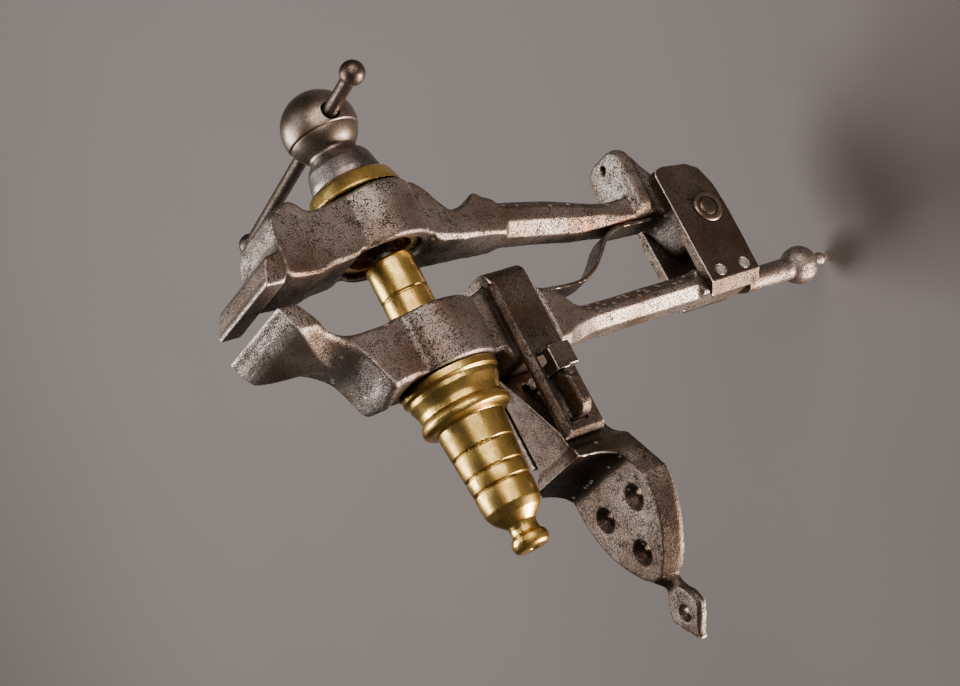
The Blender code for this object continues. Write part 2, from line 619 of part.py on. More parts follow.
# ================================ strap, gib, wedge, bracket ==========================

def bevel(side, half, edge, size):
    """Three-cornered cutter outline that bevels a plate's outer edge."""
    out, past = half + 1, edge + 1
    return [(side * out, past), (side * out, edge - size - 1), (side * (half - size - 1), past)]


def strap():
    """U-shaped strap round the front of the fixed leg, slotted near its two ends."""
    bend, inner_bend, arc = 4.0, 1.0, 4
    inside = STRAP_FRONT + STRAP_T
    right = [(STRAP_OUT, STRAP_END)]
    for k in range(arc + 1):
        angle = math.radians(90.0 * k / arc)
        right.append((STRAP_OUT - bend + bend * math.cos(angle), STRAP_FRONT + bend - bend * math.sin(angle)))
    left = [(-x, y) for x, y in right[::-1]]
    inner = [(-STRAP_IN, STRAP_END), (-STRAP_IN, inside + inner_bend), (-STRAP_IN + inner_bend, inside),
             (STRAP_IN - inner_bend, inside), (STRAP_IN, inside + inner_bend), (STRAP_IN, STRAP_END)]
    band = extruded("strap", [right + left + inner], STRAP_LOW, STRAP_TOP, "Z", "forged_steel")
    cut(band, block("strap_slot", (-20, SLOT_START, SLOT_LOW), (20, SLOT_STOP, STRAP_TOP - SLOT_DROP), None))
    chamfer(band, 0.35)
    for side, word in ((-1, "left"), (1, "right")):
        cut(band, extruded("strap_top_bevel_" + word, [bevel(side, STRAP_OUT, STRAP_TOP, STRAP_BEVEL)],
                           STRAP_FRONT + bend, STRAP_END + 2, "Y", None))
        cut(band, extruded("strap_end_bevel_" + word, [bevel(side, STRAP_OUT, STRAP_END, STRAP_BEVEL)],
                           STRAP_LOW - 2, STRAP_TOP + 2, "Z", None))


def leaf_half(t):
    """Half width of the leaf from its root (t = 0) to its tip (t = 1)."""
    return NECK_LEAF + (LEAF_HALF - NECK_LEAF) * math.sin(math.pi * (0.37 + 0.63 * min(t, 0.999))) ** 0.66


def bench_bracket():
    """Block between the strap's arms, hollow fillet, leaf with four screw holes, neck and finial."""
    block_top = STRAP_TOP - 0.5
    block_half = STRAP_IN - GAP
    foot_edge = BLOCK_UNDER + 1.6
    fillet = 6.0
    wall_top = block_top + 1.2
    leaf_root = WALL_BACK + 2.5
    finial_top = UNDER + FINIAL_T
    # y, half width at the foot, half width at the top, top, top of the upright edge, underside
    rows = [
        (BRACKET_FRONT, block_half, block_half - 0.5, block_top, foot_edge, BLOCK_UNDER),
        (STRAP_END - 3.0, block_half, block_half - 0.5, block_top, foot_edge, BLOCK_UNDER),
        (STRAP_END + 0.6, block_half, block_half - 0.5, block_top, foot_edge, BLOCK_UNDER - 1.6),
        (STRAP_END + 1.8, block_half + 0.6, block_half + 0.2, block_top, foot_edge, UNDER + 0.8),
        (WALL_BACK - 2.4, 13.4, 10.4, block_top + 0.7, UNDER + 3.0, UNDER),
        (WALL_BACK, 16.8, 12.2, wall_top, UNDER + 2.2, UNDER),
    ]
    for k in range(1, 5):
        angle = math.radians(22.5 * k)
        half = leaf_half(0.02 + 0.05 * k)
        rows.append((WALL_BACK + 0.4 + fillet * (1 - math.cos(angle)), half, half - LEAF_BEVEL,
                     LEAF_TOP + (wall_top - LEAF_TOP) * (1 - math.sin(angle)), UNDER + LEAF_EDGE, UNDER))
    leaf_steps = 16
    for k in range(4, leaf_steps):
        half = leaf_half(k / leaf_steps)
        rows.append((leaf_root + (LEAF_TIP - leaf_root) * k / leaf_steps, half, max(1.6, half - LEAF_BEVEL),
                     LEAF_TOP, UNDER + LEAF_EDGE, UNDER))
    rows += [
        (LEAF_TIP, NECK_LEAF, 1.9, LEAF_TOP - 0.4, UNDER + LEAF_EDGE, UNDER),
        (LEAF_TIP + 1.6, NECK_LEAF - 0.3, 1.5, finial_top + 1.2, UNDER + 1.8, UNDER),
        (LEAF_TIP + 3.4, 3.3, 2.6, finial_top, UNDER + 1.6, UNDER),
        (LEAF_TIP + 7.6, FINIAL_HALF - 0.6, FINIAL_HALF - 1.8, finial_top, UNDER + 1.6, UNDER),
        (LEAF_TIP + 10.4, FINIAL_HALF, FINIAL_HALF - 1.2, finial_top, UNDER + 1.6, UNDER),
        (LEAF_TIP + 13.4, FINIAL_HALF - 2.0, FINIAL_HALF - 3.2, finial_top, UNDER + 1.6, UNDER),
        (FINIAL_TIP, 0.9, 0.5, finial_top - 0.3, UNDER + 1.4, UNDER),
    ]
    rings = []
    for y, foot, top, high, edge, low in rows:
        near = min(foot, NEAR_ROOT + NEAR_FLARE * (y - WALL_BACK))
        slope = min(1.0, max(0.12, (y - WALL_BACK) / fillet))
        near_top = near - (foot - top) * slope
        rings.append([(-near, y, low), (foot, y, low), (foot, y, edge), (top, y, high), (-near_top, y, high),
                      (-near, y, edge)])
    bracket = lofted("bench_bracket", rings, "forged_steel")
    cut(bracket, block("bracket_slot", (-30, GIB_SEAT, SLOT_LOW), (30, SLOT_STOP + 1.0, SLOT_TOP), None))
    holes = ((-HOLE_SIDE, HOLE_FRONT, LEAF_TOP, HOLE_D, SINK_D), (HOLE_SIDE, HOLE_FRONT, LEAF_TOP, HOLE_D, SINK_D),
             (0.0, HOLE_BACK, LEAF_TOP, HOLE_D, SINK_D), (0.0, LEAF_TIP + 10.8, finial_top, 3.0, 5.0))
    for number, (x, y, top, hole, sink) in enumerate(holes, 1):
        deep = (sink - hole) / 2 + 0.4
        cut(bracket, turned("screw_hole_%d" % number, [
            (top + 1.0, sink / 2 + 1.0), (top, sink / 2), (top - deep, hole / 2), (UNDER - 2, hole / 2)],
            None, "Z", (x, y, 0.0), 20))


def gib_and_wedge():
    """Hooked gib and sloping wedge that draw the strap and bracket together."""
    low, high = SLOT_LOW + GAP, SLOT_TOP - GAP
    hook = 9.2               # front of the gib's two heads
    gib_back = 17.0
    near, far = STRAP_OUT + 3.6, STRAP_OUT + 3.2
    shoulder = STRAP_OUT + GAP
    slope = 1.2 / (near + far)

    def gib_edge(x):
        return gib_back - 0.4 - slope * (x + near)

    outline = [(-near, hook + 0.8), (-near + 1.2, hook), (-shoulder, hook), (-shoulder, GIB_SEAT + GAP),
               (shoulder, GIB_SEAT + GAP), (shoulder, hook + 0.4), (far, hook + 0.4), (far, gib_edge(far)),
               (-near, gib_edge(-near))]
    gib = extruded("gib", [outline], low, high, "Z", "forged_steel")
    cut(gib, block("gib_head", (-near, hook, low - 3.4), (-shoulder, gib_back - 1.0, high - 0.6), None), "UNION")
    chamfer(gib, 0.4)
    nose, tail, back = STRAP_OUT + 5.8, STRAP_OUT + 4.0, SLOT_STOP - GAP
    outline = [(-nose, gib_edge(-nose) + GAP + 2.4), (-nose + 3.4, gib_edge(-nose + 3.4) + GAP),
               (tail, gib_edge(tail) + GAP), (tail, back), (-nose + 2.6, back), (-nose, back - 2.6)]
    wedge = extruded("wedge", [outline], low, high, "Z", "forged_steel", (0, (SLOT_STOP + gib_back) / 2, KEY_MIDDLE))
    chamfer(wedge, 0.6)


# ================================ cheeks, pin, rivets, spring =========================

def cheeks(leg):
    """Two side plates riveted to the fixed leg, with the pivot pin and a rove on each side."""
    rivet_y = (BAR_FRONT + BAR_BACK) / 2
    rivets = {"cheek_rivet_upper": (rivet_y, CHEEK_TOP - 5.0), "cheek_rivet_lower": (rivet_y, CHEEK_LOW + 4.6)}
    for side, word in ((-1, "left"), (1, "right")):
        low, high = sorted((side * CHEEK_IN, side * CHEEK_OUT))
        back = CHEEK_BACK[word]
        outline = [(back, CHEEK_TOP), (back, CHEEK_LOW), (-16.0, CHEEK_LOW - 0.4), (-24.5, CHEEK_LOW + 0.2),
                   (-30.6, CHEEK_LOW + 2.4), (-33.0, CHEEK_LOW + 6.2), (CHEEK_FRONT, CHEEK_TOP - 3.6),
                   (CHEEK_FRONT + 0.8, CHEEK_TOP - 0.8), (CHEEK_FRONT + 2.6, CHEEK_TOP)]
        cheek = extruded("cheek_" + word, [outline], low, high, "X", "forged_steel")
        cut(cheek, extruded("cheek_bevel_" + word, [bevel(side, CHEEK_OUT, back, CHEEK_BEVEL[word])],
                            CHEEK_LOW - 3, CHEEK_TOP + 3, "Z", None))
        cut(cheek, drill("cheek_pin_hole_" + word, PIN_HOLE_R, -20, 20, "X", (PIVOT_Y, PIVOT_Z)))
        for name, at in rivets.items():
            cut(cheek, drill(name + "_hole_" + word, RIVET_D / 2 + GAP, -20, 20, "X", at, 12))
        chamfer(cheek, 0.5)
        face = CHEEK_OUT + GAP
        ends = [(face + ROVE_T, ROVE_R - 0.5), (face + ROVE_T - 0.4, ROVE_R), (face, ROVE_R)]
        if side < 0:
            ends = [(-s, r) for s, r in ends[::-1]]
        rove = turned("rove_" + word, ends, "turned_steel", "X", PIVOT, 20)
        cut(rove, drill("rove_hole_" + word, PIN_HOLE_R, -20, 20, "X", (PIVOT_Y, PIVOT_Z)))
    end = CHEEK_OUT + GAP + ROVE_T + 0.2
    pin_r = PIN_D / 2
    turned("pivot_pin", [(end, pin_r - 0.8), (end - 0.6, pin_r), (0.6 - end, pin_r), (-end, pin_r - 0.8)],
           "turned_steel", "X", PIVOT, 20)
    for name, at in rivets.items():
        cut(leg, drill(name + "_seat", RIVET_D / 2 + GAP, -20, 20, "X", at, 12))
        turned(name, [(CHEEK_OUT, RIVET_D / 2), (-CHEEK_OUT, RIVET_D / 2)], "turned_steel", "X", (0, *at), 12)


def beside(line, by):
    """The same run of points moved sideways by a distance."""
    out = []
    for i, (y, z) in enumerate(line):
        ahead, behind = line[min(i + 1, len(line) - 1)], line[max(i - 1, 0)]
        dy, dz = ahead[0] - behind[0], ahead[1] - behind[1]
        size = math.hypot(dy, dz)
        out.append((y - by * dz / size, z + by * dy / size))
    return out


def leaf_spring(leg):
    """Bent strip riveted to the fixed leg, whose free end pushes the moving leg open."""
    line = [(-11.05, -35.0), (-10.5, -38.0), (-10.0, -41.0), (-9.5, -46.0), (-9.2, -51.0), (-9.8, -55.5),
            (-11.6, -59.7), (-15.0, -64.2), (-18.8, -68.2), (-21.0, -71.6), (-21.9, -75.5), (-21.7, -81.0),
            (-21.4, -88.0)]
    outline = beside(line, SPRING_T / 2) + beside(line, -SPRING_T / 2)[::-1]
    spring = extruded("leaf_spring", [outline], -SPRING_HALF, SPRING_HALF, "X", "turned_steel")
    rivet_r, head_r, head, root = SPRING_RIVET_D / 2, 2.1, -11.6, -3.4
    for host, name in ((spring, "spring_rivet_hole"), (leg, "spring_rivet_seat")):
        cut(host, drill(name, rivet_r + GAP, head - 3, root + 0.4, "Y", (0, SPRING_RIVET_Z), 14))
    turned("spring_rivet", [(root, rivet_r), (head, rivet_r), (head, head_r), (head - 0.4, head_r - 0.1),
                            (head - 0.8, rivet_r)], "turned_steel", "Y", (0, 0, SPRING_RIVET_Z), 14)


tilt = Matrix.Rotation(math.radians(BAR_TILT_DEG), 3, "Y")
fixed = fixed_leg()
moving_leg()
eye_bush()
screw_box(fixed)
screw()
thrust_washer()
cross_bar()
strap()
bench_bracket()
gib_and_wedge()
cheeks(fixed)
leaf_spring(fixed)
for solid in PARTS.objects:
    solid.data.shade_smooth()
    solid.data.set_sharp_from_angle(angle=math.radians(30.0))
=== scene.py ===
# %% [markdown]
# # A small leg vise, dressed for its portrait
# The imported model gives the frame: every solid's place and size, and what moves with what.
# This lesson rebuilds the pieces that show at a finer grain, gives each one the metal it is
# really made of, and sets the light and the camera.

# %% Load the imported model
import math

import bmesh
import bpy
from mathutils import Matrix, Vector
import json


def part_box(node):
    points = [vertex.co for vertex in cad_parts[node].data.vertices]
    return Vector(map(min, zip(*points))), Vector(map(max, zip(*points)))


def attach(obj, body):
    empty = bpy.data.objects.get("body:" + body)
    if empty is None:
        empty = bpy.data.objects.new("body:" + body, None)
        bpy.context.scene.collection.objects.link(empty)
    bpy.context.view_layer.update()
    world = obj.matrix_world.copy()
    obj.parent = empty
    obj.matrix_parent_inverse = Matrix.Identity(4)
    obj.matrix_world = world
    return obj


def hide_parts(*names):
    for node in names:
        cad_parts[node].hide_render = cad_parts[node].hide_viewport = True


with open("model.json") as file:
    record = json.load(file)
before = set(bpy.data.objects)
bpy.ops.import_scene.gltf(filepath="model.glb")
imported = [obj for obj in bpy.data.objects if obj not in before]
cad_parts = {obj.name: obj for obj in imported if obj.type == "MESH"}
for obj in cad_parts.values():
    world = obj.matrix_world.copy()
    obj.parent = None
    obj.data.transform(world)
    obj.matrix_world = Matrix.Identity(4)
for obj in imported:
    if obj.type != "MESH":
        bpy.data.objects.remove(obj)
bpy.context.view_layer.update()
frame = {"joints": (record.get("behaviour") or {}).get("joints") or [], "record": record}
record = frame["record"]
joints = {joint["name"]: joint for joint in frame["joints"]}

# %% [markdown]
# ## One drawing frame
# A vise is drawn about its screw: X across the jaws, Y from the handle to the bench, Z up, in
# millimetres. The model's own origin is on the bench, so one small function carries a drawn point
# there. The screw's height and the jaw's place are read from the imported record.

# %% The drawing frame
MM = 0.001
GRIP_Y = -22.0
screw_height = joints["screw_turn"]["pos_m"][2]
jaw_face_y = [m for m in record["mounts"] if m["name"] == "fixed_jaw_face"][0]["pos_m"][1]
ORIGIN = Vector((0.0, jaw_face_y - GRIP_Y * MM, screw_height))
PIVOT = (Vector(joints["jaw_swing"]["pos_m"]) - ORIGIN) / MM
REST_OPEN = Matrix.Rotation(math.radians(2.33), 4, "X")


def put(point):
    """A drawn point, in millimetres, to its place in the model, in metres."""
    return ORIGIN + Vector(point) * MM


def opened(point):
    """A point of the moving leg, drawn with the jaws shut, where it stands at rest."""
    return PIVOT + REST_OPEN @ (Vector(point) - PIVOT)


print("screw axis at", [round(c, 4) for c in ORIGIN], "pivot at", [round(c, 1) for c in PIVOT])

# %% [markdown]
# ## Camera
# A long lens a good distance away keeps the small thing's edges nearly parallel, as close-up
# pictures of tools do. The vise stands upright in its own frame, and the picture was taken with
# it lying on its side, so the camera is rolled by more than a right angle.

# %% Camera
view_right = Vector((-0.43526544, 0.44578017, -0.78219182))
view_up = Vector((-0.44696575, -0.86117542, -0.24207129))
view_back = Vector((-0.78151495, 0.24424769, 0.57408836))
camera_data = bpy.data.cameras.new("camera")
camera_data.sensor_width = 36.0
camera_data.lens = 97.76
camera_data.clip_end = 20.0
camera = bpy.data.objects.new("camera", camera_data)
place = Matrix((view_right, view_up, view_back)).transposed().to_4x4()
place.translation = Vector((-0.55864, 0.11462, 0.43238))
camera.matrix_world = place
bpy.context.scene.collection.objects.link(camera)
bpy.context.scene.camera = camera
print("camera", [round(c, 3) for c in camera.location])

# %% [markdown]
# ## Nodes with one helper
# A material is a small graph. One function adds a node, sets it and wires it, so a material reads
# as a list of what is done. Colours are written as they look on a screen (sRGB) and turned to the
# linear light that a renderer adds up.

# %% Node helper and colours
def add(tree, kind, sockets=None, **settings):
    """Add a node, set its settings, and set or link its sockets."""
    made = tree.nodes.new(kind)
    for key, value in settings.items():
        setattr(made, key, value)
    for key, value in (sockets or {}).items():
        if isinstance(value, bpy.types.NodeSocket):
            tree.links.new(value, made.inputs[key])
        else:
            made.inputs[key].default_value = value
    return made


def linear(hex_colour):
    """sRGB hex to linear RGBA."""
    parts = [int(hex_colour[i:i + 2], 16) / 255 for i in (1, 3, 5)]
    return tuple(c / 12.92 if c <= 0.04045 else ((c + 0.055) / 1.055) ** 2.4 for c in parts) + (1.0,)


def grain(size_mm):
    """Scale of a noise texture whose lumps are about this size."""
    return 1.0 / (size_mm * MM)


def ramp(tree, factor, stops):
    """Colour ramp from (place, colour) stops; a colour is a hex text or a grey from 0 to 1."""
    made = add(tree, "ShaderNodeValToRGB", {"Fac": factor})
    while len(made.color_ramp.elements) < len(stops):
        made.color_ramp.elements.new(0.5)
    for element, (at, colour) in zip(made.color_ramp.elements, stops):
        element.position = at
        element.color = linear(colour) if isinstance(colour, str) else (colour, colour, colour, 1.0)
    return made.outputs["Color"]


def mixed(tree, amount, low, high):
    """Blend of two colours by an amount."""
    made = add(tree, "ShaderNodeMix", data_type="RGBA")
    for socket, value in ((0, amount), (6, low), (7, high)):
        if isinstance(value, bpy.types.NodeSocket):
            tree.links.new(value, made.inputs[socket])
        else:
            made.inputs[socket].default_value = linear(value) if isinstance(value, str) else value
    return made.outputs[2]


def started(name):
    """A new material with its tree, its shader and the object's coordinates."""
    material = bpy.data.materials.new(name)
    material.use_nodes = True
    tree = material.node_tree
    return material, tree, tree.nodes["Principled BSDF"], add(tree, "ShaderNodeTexCoord").outputs["Object"]


print("helpers ready")

# %% [markdown]
# ## Wrought iron, forged, filed and handled for a century
# Hammered iron keeps a skin of fine pits. Handling polishes the high ground between them, so lit
# faces look like salt and pepper: bright metal with dark, oxide-filled specks. Corners are rubbed
# to bare metal, and sheltered ground turns brown. Three scales of noise make this: pits of half a
# millimetre, blotches of a few millimetres, and brown patches of a centimetre. The mesh's own
# sharpness (pointiness) finds the corners, and also the hollows, which are darkened as painted shade.

# %% Forged iron
def forged_iron(name, bright, dark, brown, pit_mm=0.42, brown_low=0.42, rust=None):
    """Pitted iron: bright high ground, dark pits, brown patches, bare corners and painted shade in hollows.
    """
    material, tree, shader, where = started(name)
    pits = add(tree, "ShaderNodeTexNoise", {"Vector": where, "Scale": grain(pit_mm), "Detail": 2.0,
                                            "Roughness": 0.55}).outputs["Fac"]
    blotch = add(tree, "ShaderNodeTexNoise", {"Vector": where, "Scale": grain(3.5), "Detail": 4.0,
                                              "Roughness": 0.6}).outputs["Fac"]
    patch = add(tree, "ShaderNodeTexNoise",
                {"Vector": where, "Scale": grain(14.0), "Detail": 3.0}).outputs["Fac"]
    shifted = add(tree, "ShaderNodeMath", {0: blotch, 1: 0.55, 2: -0.275},
                  operation="MULTIPLY_ADD").outputs[0]
    level = add(tree, "ShaderNodeMath", {0: pits, 1: shifted}, operation="ADD").outputs[0]
    speck = ramp(tree, level, [(0.36, 0.0), (0.56, 1.0)])
    metal = mixed(tree, speck, dark, bright)
    patina = ramp(tree, patch, [(brown_low, 0.0), (brown_low + 0.28, 0.85)])
    coloured = mixed(tree, patina, metal, mixed(tree, speck, dark, brown))
    if rust:
        stain = add(tree, "ShaderNodeTexNoise", {"Vector": where, "Scale": grain(7.0), "Detail": 5.0,
                                                 "Roughness": 0.7}).outputs["Fac"]
        spot = ramp(tree, stain, [(0.56, 0.0), (0.68, 0.8)])
        coloured = mixed(tree, spot, coloured, rust)
    sharp = add(tree, "ShaderNodeNewGeometry").outputs["Pointiness"]
    worn = ramp(tree, sharp, [(0.526, 0.0), (0.56, 1.0)])
    # painted shade: concave places (low pointiness) have their colour multiplied down to a quarter
    hollow = ramp(tree, sharp, [(0.44, 0.25), (0.49, 1.0)])
    shaded = add(tree, "ShaderNodeMix", {0: 1.0}, data_type="RGBA", blend_type="MULTIPLY")
    tree.links.new(coloured, shaded.inputs[6])
    tree.links.new(hollow, shaded.inputs[7])
    tree.links.new(mixed(tree, worn, shaded.outputs[2], "#e2d8cf"), shader.inputs["Base Color"])
    smooth = add(tree, "ShaderNodeMapRange", {"Value": speck, "To Min": 0.66, "To Max": 0.44}).outputs[0]
    rubbed = add(tree, "ShaderNodeMapRange", {"Value": worn, "To Min": 0.0, "To Max": 0.10}).outputs[0]
    tree.links.new(add(tree, "ShaderNodeMath", {0: smooth, 1: rubbed}, operation="SUBTRACT").outputs[0],
                   shader.inputs["Roughness"])
    tree.links.new(add(tree, "ShaderNodeBump",
                       {"Height": level, "Strength": 1.0, "Distance": 0.13 * MM}).outputs[0],
                   shader.inputs["Normal"])
    shader.inputs["Metallic"].default_value = 1.0
    return material


leg_iron = forged_iron("wrought_iron_forged_and_filed", "#978b83", "#352b25", "#66503f")
fitting_iron = forged_iron("wrought_iron_strap_dark", "#6a5e55", "#2a211c", "#493a30", pit_mm=0.36,
                           brown_low=0.34)
# a darker copy of the leg iron with rust spots: the rust is the iron's own, the darker base is painted shade
# for the moving leg's back
rusty_shaded_iron = forged_iron("wrought_iron_rust_and_painted_shade", "#85776c", "#31261f", "#5f4838", rust="#8a4a2a")
print("iron materials made")

# %% [markdown]
# ## Turned steel
# The screw's head, collar and the cross bar were turned on a lathe, so they are smoother than the
# forgings and mirror the light in broad spots, broken up by finer pits.

# %% Turned steel
def turned_steel(name, bright, dark, pit_mm, low, high):
    """Smoother pitted steel with broad highlights."""
    material, tree, shader, where = started(name)
    pits = add(tree, "ShaderNodeTexNoise", {"Vector": where, "Scale": grain(pit_mm), "Detail": 4.0,
                                            "Roughness": 0.7}).outputs["Fac"]
    patch = add(tree, "ShaderNodeTexNoise",
                {"Vector": where, "Scale": grain(6.0), "Detail": 4.0}).outputs["Fac"]
    speck = ramp(tree, pits, [(low, 0.0), (high, 1.0)])
    stain = ramp(tree, patch, [(0.42, 0.0), (0.66, 0.6)])
    tree.links.new(mixed(tree, stain, mixed(tree, speck, dark, bright), "#4b3b30"),
                   shader.inputs["Base Color"])
    tree.links.new(add(tree, "ShaderNodeMapRange",
                       {"Value": speck, "To Min": 0.55, "To Max": 0.30}).outputs[0],
                   shader.inputs["Roughness"])
    tree.links.new(add(tree, "ShaderNodeBump",
                       {"Height": pits, "Strength": 0.55, "Distance": 0.06 * MM}).outputs[0],
                   shader.inputs["Normal"])
    shader.inputs["Metallic"].default_value = 1.0
    return material


head_steel = turned_steel("steel_turned_and_worn", "#9c8c7e", "#33271f", 0.35, 0.36, 0.54)
collar_steel = turned_steel("steel_turned_pitted", "#a89d98", "#2e2625", 0.36, 0.40, 0.56)
bar_steel = turned_steel("steel_drawn_dark", "#7d6f65", "#2a211c", 0.5, 0.40, 0.60)
spring_steel = turned_steel("spring_steel_browned", "#a09287", "#33281f", 0.6, 0.40, 0.60)
print("steel materials made")

# %% [markdown]
# ## Yellow brass, cast, turned and left to tarnish
# Brass is copper and zinc. Bare, it is a strong warm yellow, and where fingers and cloths don't
# reach it goes brown. Turning leaves rings round the axis, and years of use leave short marks
# along it. The dark colour in the grooves comes from how enclosed a place is (ambient occlusion).

# %% Yellow brass
def yellow_brass(name, streak=1.0):
    """Turned brass: warm yellow, brown where sheltered, ringed by the tool and streaked along its axis."""
    material, tree, shader, where = started(name)
    patch = add(tree, "ShaderNodeTexNoise", {"Vector": where, "Scale": grain(5.0), "Detail": 5.0,
                                             "Roughness": 0.6}).outputs["Fac"]
    fine = add(tree, "ShaderNodeTexNoise",
               {"Vector": where, "Scale": grain(0.5), "Detail": 3.0}).outputs["Fac"]
    along = add(tree, "ShaderNodeMapping", {"Vector": where, "Scale": (1.0, 0.12, 1.0)}).outputs[0]
    marks = add(tree, "ShaderNodeTexNoise",
                {"Vector": along, "Scale": grain(0.7), "Detail": 2.0}).outputs["Fac"]
    across = add(tree, "ShaderNodeMapping", {"Vector": where, "Scale": (0.04, 1.0, 0.04)}).outputs[0]
    rings = add(tree, "ShaderNodeTexNoise",
                {"Vector": across, "Scale": grain(0.45), "Detail": 2.0}).outputs["Fac"]
    base = mixed(tree, ramp(tree, patch, [(0.38, 0.0), (0.66, 1.0)]), "#e3c06f", "#ab8644")
    flecked = mixed(tree, ramp(tree, fine, [(0.56, 0.0), (0.70, 0.55 * streak)]), base, "#5f4520")
    streaked = mixed(tree, ramp(tree, marks, [(0.64, 0.0), (0.70, 0.6 * streak)]), flecked, "#4a3416")
    shelter = add(tree, "ShaderNodeAmbientOcclusion", {"Distance": 2.2 * MM}, samples=8).outputs["AO"]
    grimed = mixed(tree, ramp(tree, shelter, [(0.45, 1.0), (0.80, 0.0)]), streaked, "#33230f")
    tree.links.new(grimed, shader.inputs["Base Color"])
    tree.links.new(add(tree, "ShaderNodeMapRange",
                       {"Value": patch, "From Min": 0.3, "From Max": 0.7, "To Min": 0.20,
                                                    "To Max": 0.38}).outputs[0], shader.inputs["Roughness"])
    height = add(tree, "ShaderNodeMath", {0: rings, 1: 0.6, 2: marks}, operation="MULTIPLY_ADD").outputs[0]
    tree.links.new(add(tree, "ShaderNodeBump",
                       {"Height": height, "Strength": 0.5, "Distance": 0.05 * MM}).outputs[0],
                   shader.inputs["Normal"])
    shader.inputs["Metallic"].default_value = 1.0
    return material


box_brass = yellow_brass("yellow_brass_cast_and_turned")
washer_brass = yellow_brass("yellow_brass_dull", streak=1.3)
print("brass materials made")

# %% [markdown]
# ## From rough shape to finished piece
# Each piece is roughed out as a mesh, then goes through one set of modifiers: a voxel remesh gives
# even facets, a few rounds of smoothing ease the edges as filing and handling do, and a gentle
# displacement leaves the unevenness of hammer work. The result is frozen to a plain mesh with its
# place in its vertices, rides on its body and stands in for the plain solid.

# %% Finishing a piece
def linked(name, mesh):
    """Object for a mesh, in the scene."""
    made = bpy.data.objects.new(name, mesh)
    bpy.context.scene.collection.objects.link(made)
    return made


def frozen(piece):
    """The piece with its modifiers and its place applied to its mesh."""
    graph = bpy.context.evaluated_depsgraph_get()
    graph.update()
    mesh = bpy.data.meshes.new_from_object(piece.evaluated_get(graph))
    mesh.transform(piece.matrix_world)
    piece.modifiers.clear()
    piece.matrix_world = Matrix.Identity(4)
    old, name = piece.data, piece.name
    if piece.type == "CURVE":
        bpy.data.objects.remove(piece, do_unlink=True)
        return linked(name, mesh)
    piece.data = mesh
    bpy.data.meshes.remove(old)
    return piece


def carve(piece, cutters):
    """Cut other shapes away, then remove them."""
    for cutter in cutters:
        mod = piece.modifiers.new(cutter.name, "BOOLEAN")
        mod.operation = "DIFFERENCE"
        mod.solver = "EXACT"
        mod.object = cutter
    piece = frozen(piece)
    for cutter in cutters:
        bpy.data.objects.remove(cutter, do_unlink=True)
    return piece


def dent(name, size_mm, depth_mm, piece):
    """Push the surface in and out by a soft cloud of this size and depth."""
    cloud = bpy.data.textures.get(name) or bpy.data.textures.new(name, "CLOUDS")
    cloud.noise_scale = size_mm * MM
    cloud.noise_depth = 2
    mod = piece.modifiers.new(name, "DISPLACE")
    mod.texture = cloud
    mod.texture_coords = "LOCAL"
    mod.strength = depth_mm * MM
    mod.mid_level = 0.5


def eased(piece, voxel_mm, rounds, hammer_mm=0.0, pit_mm=0.0):
    """Even facets, eased edges, hammer marks and pits."""
    mod = piece.modifiers.new("even facets", "REMESH")
    mod.mode = "VOXEL"
    mod.voxel_size = voxel_mm * MM
    mod = piece.modifiers.new("eased edges", "SMOOTH")
    mod.factor = 0.5
    mod.iterations = rounds
    if hammer_mm:
        dent("hammer_marks", 7.0, hammer_mm, piece)
    if pit_mm:
        dent("deep_pits", 1.3, pit_mm, piece)
    return frozen(piece)


def finish(piece, material, body, slot, *nodes):
    """Material, smooth shading, the body it rides on and the solids it stands for."""
    piece.data.materials.clear()
    piece.data.materials.append(material)
    piece.data.shade_smooth()
    if slot != "forged_steel":
        piece.data.set_sharp_from_angle(angle=math.radians(40.0))
    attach(piece, body)
    if nodes:
        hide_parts(*nodes)
    print(piece.name, "on", body, len(piece.data.polygons), "faces")


# %% [markdown]
# ## Turned shapes
# What a lathe makes is one outline swept round an axis, which is Blender's Screw modifier. Sharp
# corners of the outline are eased first with a small arc, because no real turned edge is a knife.

# %% Turned shapes
def turned(name, profile, axis="Y", at=(0.0, 0.0, 0.0), steps=96, tilt=0.0, ring=False):
    """(distance along the axis, radius) points, in mm, swept round the axis."""
    run = list(profile) if ring else [(profile[0][0], 0.0)] + list(profile) + [(profile[-1][0], 0.0)]
    shape = bmesh.new()
    row = []
    for s, r in run:
        point = {"X": (s, 0.0, r), "Y": (r, s, 0.0), "Z": (r, 0.0, s)}[axis]
        row.append(shape.verts.new(Vector(point) * MM))
    for first, second in zip(row, row[1:] + ([row[0]] if ring else [])):
        shape.edges.new((first, second))
    mesh = bpy.data.meshes.new(name)
    shape.to_mesh(mesh)
    shape.free()
    made = linked(name, mesh)
    made.location = put(at)
    made.rotation_euler.y = math.radians(tilt)
    sweep = made.modifiers.new("turned", "SCREW")
    sweep.axis = axis
    sweep.steps = sweep.render_steps = steps
    sweep.use_merge_vertices = True
    sweep.merge_threshold = 0.01 * MM
    bpy.context.view_layer.update()
    made = frozen(made)
    outward(made.data)
    return made


def outward(mesh):
    """Point a closed mesh's faces outwards."""
    shape = bmesh.new()
    shape.from_mesh(mesh)
    bmesh.ops.remove_doubles(shape, verts=shape.verts, dist=0.005 * MM)
    bmesh.ops.recalc_face_normals(shape, faces=shape.faces)
    if shape.calc_volume(signed=True) < 0:
        bmesh.ops.reverse_faces(shape, faces=shape.faces)
    shape.to_mesh(mesh)
    shape.free()


